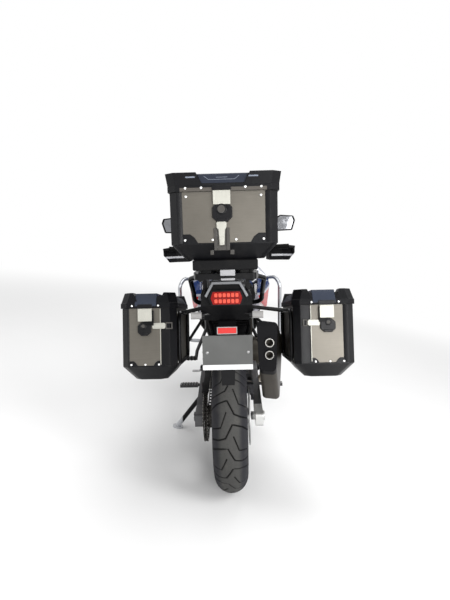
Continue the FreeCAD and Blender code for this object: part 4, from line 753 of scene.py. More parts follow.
class MOTORCYCLE_OT_case_trim(bpy.types.Operator):
    """Add mouldings, rivets, latches and locks to the three cases"""
    bl_idname = "motorcycle.case_trim"
    bl_label = "Case trim"

    def execute(self, context):
        s = context.scene.motorcycle_cases
        self.black = moulded("case_moulding", tuple(s.moulding), 0.36, 1900.0, 0.00006, shine=0.16)
        self.bright = brushed("rivet_alloy", (0.86, 0.86, 0.84), "z", 0.28, 0.6, 900.0, 0.0003)
        self.silver = brushed("latch_alloy", (0.42, 0.415, 0.37), "z", 0.42, 0.35, 900.0)
        self.dark = moulded("lock_black", (0.006, 0.006, 0.007), 0.3, 2400.0, 0.00004, shine=0.16)
        self.grey = painted("strap_frame", (0.055, 0.052, 0.048), 0.45)
        for name, fit in CASES.items():
            self.mouldings(name, fit, s)
            self.rivets(name, fit, s)
            self.latch(name, fit)
        self.top_details()
        self.side_details()
        return {"FINISHED"}

    def mouldings(self, name, fit, s):
        case = fit["case"]
        shoulder = case["floor"] + FOOT_RISE
        shell = Shell(fit["tilted"])
        corner_moulding(shell, case, s.proud, fit["reach"], shoulder + 4, case["seam"] - 0.5)
        foot_moulding(shell, case, s.proud, 5.0)
        for sx in (-1, 1):
            edge = case["x1"] - CHAMFER - fit["reach"][0][0] if sx > 0 else case["x0"] + CHAMFER + fit["reach"][3][1]
            size = 1.0 if name == "top_case" else 0.62
            foot = shoulder + 4
            tab = [(edge + 2 * sx, foot), (edge + 2 * sx, foot + 32 * size),
                   (edge - 24 * size * sx, foot + 32 * size), (edge - 40 * size * sx, foot + 20 * size),
                   (edge - 52 * size * sx, foot)]
            on_rear(shell, tab, case["y0"] + 0.1, s.proud + 0.3, 0.6)
        shell.piece(name + "_moulding", self.black, "chassis", "case_alloy")

    def rivets(self, name, fit, s):
        case = fit["case"]
        shoulder = case["floor"] + FOOT_RISE
        heads, lid_heads = Shell(fit["tilted"]), Shell(fit["tilted"])
        for x, z in fit["wall"]:
            rivet(heads, (x, case["y0"] - s.proud - 0.4, z), BACK, s.rivet)
        for x, out in ((case["x0"] - 0.2, -1), (case["x1"] + 0.2, 1)):
            for y in (case["y0"] + 60, (case["y0"] + case["y1"]) / 2, case["y1"] - 60):
                rivet(heads, (x, y, shoulder + 14), (out, 0, 0), s.rivet)
                rivet(heads, (x, y, case["seam"] - 20), (out, 0, 0), s.rivet)
        heads.piece(name + "_rivets", self.bright, "chassis", "case_alloy")
        for x, z in fit["rim"]:
            rivet(lid_heads, (x, case["y0"] - LID_OVER - 0.1, z), BACK, s.rivet)
        for x, out in ((case["x0"] - LID_OVER - 0.1, -1), (case["x1"] + LID_OVER + 0.1, 1)):
            for y in (case["y0"] + 30, case["y1"] - 30):
                rivet(lid_heads, (x - 1.9 * out, y, case["seam"] + 10), (out, 0, 0), s.rivet)
        lid_heads.piece(name + "_lid_rivets", self.bright, name + "_lid", "case_alloy")

    def latch(self, name, fit):
        """Hood and bright plate that hang from the lid, the cut-cornered lock below with its key disc."""
        back = fit["case"]["y0"]
        tilted = fit["tilted"]
        x, z, w, h = fit["hood"]
        hood = on_rear(Shell(tilted), rect(x, z, w, h, 2), back - LID_OVER - 0.1, 4.0, 1.0)
        hood.piece(name + "_latch_hood", self.dark, name + "_lid", "case_alloy")
        x, z, w, h = fit["plate"]
        plate = on_rear(Shell(tilted), rect(x, z, w, h, 2), back - 9.0, 3.6, 0.8)
        on_rear(plate, rect(x, z + h / 2 - 2, w, 7), back - LID_OVER - 0.1, 3.5, 0.5)
        plate.piece(name + "_latch_plate", self.silver, name + "_lid", "case_alloy")
        x, z, w, h, cut = fit["lock"]
        lock = on_rear(Shell(tilted), rect(x, z, w, h, cut), back, 10.0, 2.5)
        kx, kz, r = fit["key"]
        lock.lathe([(r + 4, 9.5), (r + 3, 13), (r + 1, 13.5), (r, 12.5), (0, 12.5)], (kx, back, kz), BACK, 24)
        on_rear(lock, rect(x, z - h / 2 + 6, w * 0.6, 10, 3), back - 9.5, 4.0, 1.5)
        lock.piece(name + "_lock", self.dark, "chassis", "lock_black")
        disc = [(r - 1.5, 12.6), (r - 2, 14.2), (r * 0.45, 14.4), (0, 14.0)]
        key = Shell(tilted).lathe(disc, (kx, back, kz), BACK, 20)
        key.piece(name + "_key_disc", self.grey, "chassis", "lock_black")

    def top_details(self):
        """Strap in its frame on the top case, its tabs, the deck between the lid's blocks and their slots."""
        back = TOP_CASE["y0"]
        strap = [(-22, 1222), (-27, 1216), (-26, 1200), (-20, 1192), (-17, 1139), (0, 1139), (3, 1192), (8, 1200),
                 (9, 1216), (4, 1222)]
        bright = on_rear(Shell(), strap[::-1], back - 4.0, 5.0, 1.5)
        on_rear(bright, oblong(-15, -2, 1146, 1168), back - 8.6, 1.6, 0.5)
        bright.piece("top_case_strap", self.silver, "chassis", "case_alloy")
        grey = Shell()
        for x0, x1, z0, z1 in ((-36, -25, 1121, 1199), (8, 19, 1121, 1199), (-25, 8, 1121, 1135),
                               (-50, -38, 1106, 1122), (20, 34, 1106, 1122)):
            on_rear(grey, oblong(x0, x1, z0, z1), back - 0.5 + (0 if z1 > 1150 else 2.0), 4.0, 0.8)
        on_rear(grey, oblong(-25, 8, 1135, 1199), back + 0.5, 2.5, 0.3)
        grey.piece("top_case_strap_frame", self.grey, "chassis", "case_alloy")
        deck = Shell().prism([(-71, 1340), (71, 1340), (91, 1384), (-91, 1384)], [(0, 2), (2, 0), (400, 0), (402, 2)],
                             (0, -431.5, 0), X, Z, Y)
        for k in range(5):
            y = -392 + 76 * k
            deck.prism(oblong(-44, 38, y, y + 7), [(0, 0), (2.2, 0), (3.2, 1)], (0, 0, 1383.5), X, Y, Z)
        deck.piece("top_case_deck", painted("top_deck_panel", (0.014, 0.018, 0.030), 0.3, coat=0.3), "top_case_lid",
                   "case_alloy")
        slots = Shell()
        for x in (-112, 104):
            on_rear(slots, rect(x, 1372, 34, 5, 1.5), back - 11.2, 2.0, 0.6)
        for x0, z0, x1, z1 in ((-66, 1376, -50, 1364), (-50, 1364, 40, 1364), (40, 1364, 56, 1376),
                               (-24, 1371, 16, 1371)):
            way = np.array([x1 - x0, z1 - z0]) / math.hypot(x1 - x0, z1 - z0)
            off = np.array([-way[1], way[0]]) * 0.8
            a, b = np.array([x0, z0]), np.array([x1, z1])
            on_rear(slots, [a - off, b - off, b + off, a + off], back - 1.2, 1.0, 0.3)
        pale = painted("slot_paint", (0.16, 0.18, 0.22), 0.3)
        slots.piece("top_case_slots", pale, "top_case_lid", "case_alloy")

    def side_details(self):
        """Straps with their loops beside the panniers' locks, edge lines and the lids' middle decks."""
        sunk = painted("deck_panel", (0.020, 0.026, 0.042), 0.3, coat=0.3)
        for name in ("left_pannier", "right_pannier"):
            fit = CASES[name]
            back = fit["case"]["y0"]
            x, z, length = fit["strap"]
            bright = on_rear(Shell(True), rect(x, z, length, 24, 5), back - 1.5, 5.0, 1.5)
            on_rear(bright, rect(x, z, length * 0.6, 12, 3), back - 6.2, 1.6, 0.5)
            line = fit["line"]
            on_rear(bright, oblong(line - 1.5, line + 1.5, 662, 886), back - 0.3, 2.2, 0.5)
            bright.piece(name + "_strap", self.silver, "chassis", "case_alloy")
            x0, x1 = fit["loop"]
            grey = Shell(True)
            ring_bars(grey, x0, x1, z - 14, z + 14, 5.0, back - 1.0, 6.0)
            grey.piece(name + "_strap_loop", self.grey, "chassis", "case_alloy")
            middle, width = fit["deck"]
            rim, front, top = fit["case"]["y0"] - LID_OVER, fit["case"]["y1"] + LID_OVER, fit["case"]["top"]
            profile = [(rim - 1.2, top - 56), (rim - 1.2, top - 43.5), (rim + 26, top - 3), (front - 26, top - 3),
                       (front - 20, top - 17), (rim + 18, top - 17), (rim + 3, top - 42), (rim + 3, top - 56)]
            deck = Shell(True).prism(profile, [(0, 1.5), (1.5, 0), (width - 1.5, 0), (width, 1.5)],
                                     (middle - width / 2, 0, 0), Y, Z, X)
            deck.piece(name + "_deck", sunk, name + "_lid", "case_alloy")


class MOTORCYCLE_OT_seats(bpy.types.Operator):
    """Pad the rider's and the passenger's seat"""
    bl_idname = "motorcycle.seats"
    bl_label = "Seats"

    def execute(self, context):
        s = context.scene.motorcycle_seats
        for name, material in (("rider_seat", seat_cover("rider_vinyl", (0.006, 0.006, 0.0065))),
                               ("pillion_seat", seat_cover("passenger_vinyl", (0.005, 0.005, 0.0055)))):
            source = frame["nodes"][name].data
            low, high = (np.array(c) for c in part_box(name))
            mesh = source.copy()
            mesh.name = name + "_cover"
            obj = bpy.data.objects.new(name + "_cover", mesh)
            context.scene.collection.objects.link(obj)
            mesh.materials.clear()
            mesh.materials.append(material)
            bm = bmesh.new()
            bm.from_mesh(mesh)
            bmesh.ops.remove_doubles(bm, verts=bm.verts, dist=0.00002)
            bmesh.ops.recalc_face_normals(bm, faces=bm.faces)
            bm.to_mesh(mesh)
            bm.free()
            remesh = obj.modifiers.new("remesh", "REMESH")
            remesh.mode, remesh.voxel_size, remesh.use_smooth_shade = "VOXEL", s.voxel, True
            self.apply(context, obj)
            self.draw_in(obj, 0.004)
            self.swell(context, obj, s.pressure, s.swell)
            self.smooth(obj, 3)
            grid = obj.modifiers.new("subdivision", "SUBSURF")
            grid.levels = grid.render_levels = 1
            self.apply(context, obj)
            self.seams(obj, name, low, high)
            obj.data.shade_smooth()
            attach(obj, "chassis")
            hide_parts(name)
        return {"FINISHED"}

    def apply(self, context, obj):
        """The mesh as its modifiers leave it, with none kept."""
        shown = obj.evaluated_get(context.evaluated_depsgraph_get())
        mesh = bpy.data.meshes.new_from_object(shown)
        obj.modifiers.clear()
        obj.data = mesh

    def vertices(self, obj, attribute="co"):
        values = np.empty(len(obj.data.vertices) * 3)
        if attribute == "co":
            obj.data.vertices.foreach_get("co", values)
        else:
            obj.data.vertex_normals.foreach_get("vector", values)
        return values.reshape(-1, 3)

    def place(self, obj, points):
        obj.data.vertices.foreach_set("co", np.ascontiguousarray(points).ravel())
        obj.data.update()

    def draw_in(self, obj, depth):
        """Every point moves inwards along its normal, so that the padding has room to swell."""
        self.place(obj, self.vertices(obj) - depth * self.vertices(obj, "normal"))

    def swell(self, context, obj, pressure, cap):
        """Cloth under inner pressure, held along its underside; no point moves further than the cap."""
        before = self.vertices(obj)
        down = self.vertices(obj, "normal") @ np.array([math.sin(LEAN), 0, -math.cos(LEAN)])
        held = obj.vertex_groups.new(name="held")
        held.add([int(i) for i in np.nonzero(down > 0.55)[0]], 1.0, "REPLACE")
        cloth = obj.modifiers.new("cloth", "CLOTH")
        cloth.settings.vertex_group_mass = "held"
        cloth.settings.use_pressure = True
        cloth.settings.uniform_pressure_force = pressure
        cloth.settings.quality = 6
        cloth.settings.mass = 0.3
        cloth.settings.effector_weights.gravity = 0.0
        cloth.collision_settings.use_collision = False
        for at in range(1, 21):
            context.scene.frame_set(at)
        self.apply(context, obj)
        context.scene.frame_set(1)
        after = self.vertices(obj)
        move = after - before
        far = np.linalg.norm(move, axis=1)[:, None]
        self.place(obj, before + move * np.minimum(1.0, cap / np.maximum(far, 1e-9)))
        obj.vertex_groups.clear()

    def smooth(self, obj, rounds):
        """Each point moves halfway to the mean of its neighbours, a few times over."""
        ends = np.empty(len(obj.data.edges) * 2, int)
        obj.data.edges.foreach_get("vertices", ends)
        a, b = ends.reshape(-1, 2).T
        points = self.vertices(obj)
        count = np.bincount(np.concatenate([a, b]), minlength=len(points))[:, None]
        for _ in range(rounds):
            total = np.zeros_like(points)
            np.add.at(total, a, points[b])
            np.add.at(total, b, points[a])
            points = 0.5 * points + 0.5 * total / np.maximum(count, 1)
        self.place(obj, points)

    def channel(self, distance):
        """Depth of a sewn line, 1 at its middle: a narrow bell of the distance, less a wider and shallower one."""
        return np.exp(-(distance / 0.0022) ** 2) - 0.35 * np.exp(-(distance / 0.008) ** 2)

    def seams(self, obj, name, low, high):
        """Sewn lines: a groove along the shoulder, and cross channels on the sitting face, with their lips raised."""
        points, normal = self.vertices(obj), self.vertices(obj, "normal")
        c, sn = math.cos(LEAN), math.sin(LEAN)
        x = (points[:, 0] - SHIFT.x) * c + points[:, 2] * sn
        z = points[:, 2] * c - (points[:, 0] - SHIFT.x) * sn
        y = points[:, 1]
        up = normal[:, 2] * c - normal[:, 0] * sn
        middle, half = (x.max() + x.min()) / 2, (x.max() - x.min()) / 2
        top = smoothstep(up, 0.3, 0.7)
        depth = np.zeros(len(points))
        side = np.abs(np.abs(x - middle) - 0.74 * half)
        depth += top * self.channel(side)
        length = high[1] - low[1]
        for share in (0.3, 0.55) if name == "pillion_seat" else (0.45,):
            bow = 0.02 * ((x - middle) / half) ** 2
            across = np.abs(y - (low[1] + share * length) + bow)
            inner = smoothstep(-np.abs(x - middle), -0.76 * half, -0.72 * half)
            depth += top * inner * self.channel(across)
        self.place(obj, points - normal * (0.0028 * depth)[:, None])


class MOTORCYCLE_OT_tail(bpy.types.Operator):
    """Add the lamp's cells and surround, the carrier's rear trim and the plate's fastenings"""
    bl_idname = "motorcycle.tail"
    bl_label = "Tail"

    def execute(self, context):
        cells = Shell()
        for row in (-1, 1):
            for k in range(6):
                x = (k - 2.5) * 16.0
                on_rear(cells, rect(x, LAMP_Z + row * 11.5, 12.0, 15.0, 2.5), -325.6, 3.0, 1.4)
        lit = lens("lamp_cells", (0.30, 0.02, 0.015), 0.15, (1.0, 0.16, 0.08), 0.55, coat=0.1)
        cells.piece("tail_lamp_cells", lit, "chassis", "tail_lamp_red")
        ribs = Shell()
        on_rear(ribs, rect(0, LAMP_Z, 98, 3.0), -325.6, 2.2, 0.4)
        for k in range(5):
            on_rear(ribs, rect((k - 2) * 16.0, LAMP_Z, 2.0, 40), -325.6, 1.4, 0.4)
        dim = lens("lamp_ribs", (0.10, 0.004, 0.004), 0.2, (1.0, 0.02, 0.01), 0.08, coat=0.1)
        ribs.piece("tail_lamp_ribs", dim, "chassis", "tail_lamp_red")
        trim = [(-84, 944), (-54, 999), (54, 999), (84, 944), (76, 938), (49, 988), (-49, 988), (-76, 938)]
        surround = on_rear(Shell(), trim, -296.0, 16.0, 1.5)
        grey = painted("tail_trim_paint", (0.20, 0.205, 0.215), 0.35, 0.3)
        surround.piece("tail_trim", grey, "chassis", "carrier_grey")
        dark = moulded("tail_cowl_plastic", SOOT, 0.5)
        infill = [(-80, 905), (-84, 944), (-54, 997), (54, 997), (84, 944), (80, 905)]
        cowl = on_rear(Shell(), infill, -250.0, 48.0, 2.0)
        cowl.piece("tail_cowl", dark, "chassis", "trim_black")
        mount = Shell().prism(oblong(-118, 118, -395, -70), [(0, 4), (4, 0), (35, 0), (39, 4)], (0, 0, 1048), X, Y, Z)
        mount.piece("top_case_mount", dark, "chassis", "carrier_grey")
        rim = Shell()
        ring_bars(rim, -38, 38, 804, 832, 3, -355.5, 4.5)
        rim.piece("reflector_rim", painted("reflector_rim_paint", (0.30, 0.29, 0.29), 0.35), "chassis", "plate_bare")
        red = on_rear(Shell(), rect(0, 818, 71, 23), -355.8, 3.0, 0.8)
        # the reflector is no lamp: its red glow is painted light
        reflector_painted_glow = lens("reflector_red_painted_glow", (0.42, 0.02, 0.018), 0.12, (1.0, 0.04, 0.03), 0.12, coat=0.2)
        red.piece("rear_reflector", reflector_painted_glow, "chassis", "plate_bare")
        silver = brushed("carrier_trim_alloy", (0.30, 0.30, 0.31), "x", 0.45, 0.5)
        block = on_rear(Shell(), rect(8, 1039, 54, 22, 2), -394.0, 6.0, 1.2)
        on_rear(block, rect(8, 1013, 52, 9, 2), -368.0, 6.0, 1.2)
        block.piece("carrier_badge_plate", silver, "chassis", "carrier_grey")
        holes = Shell()
        for x in (-78, 78):
            bolt(holes, (x, -352.4, 732), BACK, 4.2, 3.0)
        for x in (-104, 104):
            for y in (-330, -110):
                bolt(holes, (x, y, 1033.8), Z, 6.0)
        steel = brushed("tail_bolt_steel", (0.30, 0.30, 0.30), "z", 0.35, 0.8)
        holes.piece("tail_bolts", steel, "chassis", "lock_black")
        return {"FINISHED"}


class MOTORCYCLE_OT_controls(bpy.types.Operator):
    """Add the mirrors' faces, the display, the lamp lenses and the bar's switches"""
    bl_idname = "motorcycle.controls"
    bl_label = "Controls"

    def execute(self, context):
        face = np.array([(306, 1212), (312, 1286), (350, 1308), (438, 1300), (450, 1270), (430, 1204), (330, 1200)],
                        float)
        glass = Finish("mirror_glass", Metallic=1.0)
        film = glass.ramp(glass.noise(26.0, 5.0), 0.4, 0.8)
        glass.put(Base_Color=glass.blend(film, (0.25, 0.255, 0.27), (0.21, 0.215, 0.225)),
                  Roughness=film * 0.1 + 0.04)
        mirrors = Shell()
        for side in (-1, 1):
            centre = face.mean(0)
            inner = centre + (face - centre) * 0.84
            on_rear(mirrors, inner * (side, 1), 1058.6, 1.6, 0.5)
        mirrors.piece("mirror_faces", glass.material, "steering", "mirror_black")
        slope = np.array([0, -0.304, 0.952])
        out = np.array([0, -0.952, -0.304])
        screen = Shell().prism([(-80, -36), (80, -36), (80, 38), (-80, 38)], [(0, 0), (1.2, 0), (1.8, 0.8)],
                               (0, 1337, 1137), X, slope, out)
        display = Finish("display_glass", Coat_Weight=1.0, Coat_Roughness=0.03)
        streak = display.noise(30.0, 3.0)
        display.put(Base_Color=display.blend(streak, (0.010, 0.012, 0.016), (0.016, 0.018, 0.024)),
                    Roughness=streak * 0.1 + 0.08)
        screen.piece("display_face", display.material, "chassis", "display_black")
        lamps = Shell()
        for x in (-42, 42):
            lamps.lathe([(29, -6), (29, 3), (26, 6), (20, 8), (0, 9)], (x, 1556, 970), Y, 28)
            lamps.lathe([(31, -6), (33, 2), (31, 3), (29.5, 2), (29.5, -6)], (x, 1556, 970), Y, 28)
        lamps.piece("headlamp_rounds", lens("headlamp_round_lens", (0.72, 0.76, 0.80), 0.05), "chassis", "lamp_glass")
        knobs = Shell()
        for side in (-1, 1):
            knobs.lathe([(17.6, 0), (19.5, 2), (19.5, 5), (17.6, 7)], (side * 279, 1133.4, 1092.5),
                        (side * 0.953, -0.302, 0.027), 20)
            for k in range(3):
                at = (side * (251 + 8 * k), 1144.5 - 3 * k - 18.2, 1085 + 3 * k)
                knobs.lathe([(3.4, -1.5), (3.4, 1.0), (2.6, 1.8), (0, 1.9)], at, BACK, 10)
        knobs.piece("bar_switches", moulded("switch_plastic", (0.02, 0.02, 0.021), 0.4), "steering", "bar_silver")
        return {"FINISHED"}


class MOTORCYCLE_OT_machine(bpy.types.Operator):
    """Add bolts, the chain's links and pins, spoke nipples and the pegs' rubbers"""
    bl_idname = "motorcycle.machine"
    bl_label = "Machine details"

    def execute(self, context):
        steel = brushed("bolt_steel", (0.46, 0.46, 0.47), "z", 0.35, 0.85, 900.0, 0.0003)
        dark = painted("bolt_black", (0.02, 0.02, 0.021), 0.4, 0.5)
        engine = Shell()
        for x, y, z, out, ring, count, radius in (
                (176, 800, 440, 1, 84, 10, 5), (150, 950, 470, 1, 33, 5, 4), (-180, 860, 430, -1, 71, 9, 5),
                (-160, 740, 500, -1, 22, 4, 4)):
            bolt_ring(engine, (x, y, z), (out, 0, 0), ring, count, radius, 0.2)
        engine.lathe([(34, 0), (34, 2.5), (31, 4.0), (12, 4.4), (0, 4.4)], (176, 800, 440), X, 32)
        engine.lathe([(26, 0), (26, 2.5), (23, 4.0), (9, 4.4), (0, 4.4)], (-180, 860, 430), (-1, 0, 0), 28)
        engine.piece("engine_bolts", steel, "chassis", "engine_grey")
        frame_bolts = Shell()
        for side in (-1, 1):
            x = 165 if side > 0 else -177
            cap = [(17, -12), (17, 3), (14, 5), (9, 5.5), (9, 2), (0, 2)]
            frame_bolts.lathe(cap, (x, *PIVOT), (side, 0, 0), 24)
        for x, out in ((-170, -1), (158, 1)):
            bolt_ring(frame_bolts, (x, 0, REAR_Z), (out, 0, 0), 16.5, 6, 2.2)
        frame_bolts.piece("frame_bolts", dark, "chassis", "frame_black")
        self.chain()
        self.wheels(steel)
        rubbers = Shell()
        for side in (-1, 1):
            for k in range(6):
                x = side * (206 + 16 * k)
                rubbers.prism([(x - 4, 543), (x + 4, 543), (x + 4, 581), (x - 4, 581)], [(0, 0), (3.5, 0), (4.5, 1)],
                              (0, 0, 307.9), X, Y, Z)
            for k in range(5):
                x = side * (192 + 18 * k)
                rubbers.lathe([(11.2, -5), (13, -4), (13, 4), (11.2, 5)], (x, 368, 517), (side, 0, 0), 16)
        rubbers.piece("peg_rubbers", moulded("peg_rubber", (0.012, 0.012, 0.012), 0.6), "chassis", "peg_steel")
        return {"FINISHED"}

    def chain(self):
        """Pins and outer plates at even steps along the loop: two tangent runs and two arcs round the sprockets."""
        big, small = (CHAIN_PITCH / (2 * math.sin(math.pi / teeth)) for teeth in (REAR_TEETH, FRONT_TEETH))
        rear, front = np.array([0.0, REAR_Z]), np.array(OUTPUT)
        gap = front - rear
        slope, span = math.atan2(gap[1], gap[0]), np.linalg.norm(gap)
        tilt = math.asin((big - small) / span)
        up, down = slope + math.pi / 2 - tilt, slope - math.pi / 2 + tilt
        run = span * math.cos(tilt)
        parts = (run, small * (up - down), run, big * (TURN - (up - down)))
        total = sum(parts)
        count = 2 * round(total / CHAIN_PITCH / 2)

        def turned(angle):
            return np.array([math.cos(angle), math.sin(angle)])

        def at(length):
            """Place on the loop, rear tangent point first, along the top to the front."""
            length %= total
            if length < parts[0]:
                share = length / run
                return rear + big * turned(up) + share * (gap + (small - big) * turned(up))
            length -= parts[0]
            if length < parts[1]:
                return front + small * turned(up - length / small)
            length -= parts[1]
            if length < parts[2]:
                share = length / run
                return front + small * turned(down) - share * (gap + (small - big) * turned(down))
            length -= parts[2]
            return rear + big * turned(down - length / big)

        pins, plates = Shell(), Shell()
        joints = [at(total * k / count) for k in range(count)]
        for here in joints:
            for side in (-1, 1):
                pins.lathe([(2.9, -1.5), (2.9, 2.6), (2.2, 3.2), (0, 3.2)],
                           (CHAIN_X + side * 7.5, here[0], here[1]), (side, 0, 0), 8)
        for k in range(0, count, 2):
            a, b = joints[k], joints[(k + 1) % count]
            ahead = (b - a) / np.linalg.norm(b - a)
            left = np.array([-ahead[1], ahead[0]])
            outline = []
            for end, sign in ((a, -1), (b, 1)):
                for turn in (-90, -45, 0, 45, 90):
                    t = math.radians(turn)
                    outline.append(end + sign * (6.4 * math.cos(t) * ahead + 6.4 * math.sin(t) * left))
                outline.append((a + b) / 2 + sign * 4.4 * left)
            for side in (-1, 1):
                at_side = (CHAIN_X + side * 7.4, 0, 0)
                plates.prism(outline, [(0, 0), (1.3, 0), (1.8, 0.5)], at_side, Y, Z, (side, 0, 0))
        pins.piece("chain_pins", brushed("pin_steel", (0.75, 0.73, 0.68), "x", 0.4, 0.6), "chassis", "chain_steel")
        plates.piece("chain_plates", oiled_chain("chain_plates"), "chassis", "chain_steel")

    def wheels(self, steel):
        """Nipples where the spokes meet the rims, the discs' bolts and the sprocket's bolts."""
        for name, size, hub, y, z in (("rear", REAR_TYRE, 72.0, 0.0, REAR_Z),
                                      ("front", FRONT_TYRE, 45.0, WHEELBASE, FRONT_Z)):
            nipples = Shell()
            inner = size[2] - 17.0
            for i in range(36):
                side = 1 if i % 2 else -1
                rim, root = TURN * i / 36, TURN * i / 36 + math.radians(38 if (i // 2) % 2 else -38)
                start = np.array([side * (hub - 8), 39 * math.cos(root), 39 * math.sin(root)])
                end = np.array([side * 6.0, (inner + 3) * math.cos(rim), (inner + 3) * math.sin(rim)])
                way = (end - start) / np.linalg.norm(end - start)
                base = end - way * 20 + np.array([0, y, z])
                nipples.lathe([(2.6, 0), (3.3, 1.5), (3.3, 9), (4.2, 11), (4.2, 18)], base, way, 8)
            nipples.piece(name + "_spoke_nipples", steel, name + "_wheel", "disc_steel")
        rear = Shell()
        bolt_ring(rear, (88.0 + 2.4, 0, REAR_Z), X, 32, 6, 3.6, 0.5)
        bolt_ring(rear, (CHAIN_X - 3.4, 0, REAR_Z), (-1, 0, 0), 44, 6, 4.2, 0.5)
        rear.piece("rear_wheel_bolts", steel, "rear_wheel", "disc_steel")
        front = Shell()
        for side in (-1, 1):
            bolt_ring(front, (side * 63.4, WHEELBASE, FRONT_Z), (side, 0, 0), 32, 6, 3.6, 0.5)
        front.piece("front_wheel_bolts", steel, "front_wheel", "disc_steel")


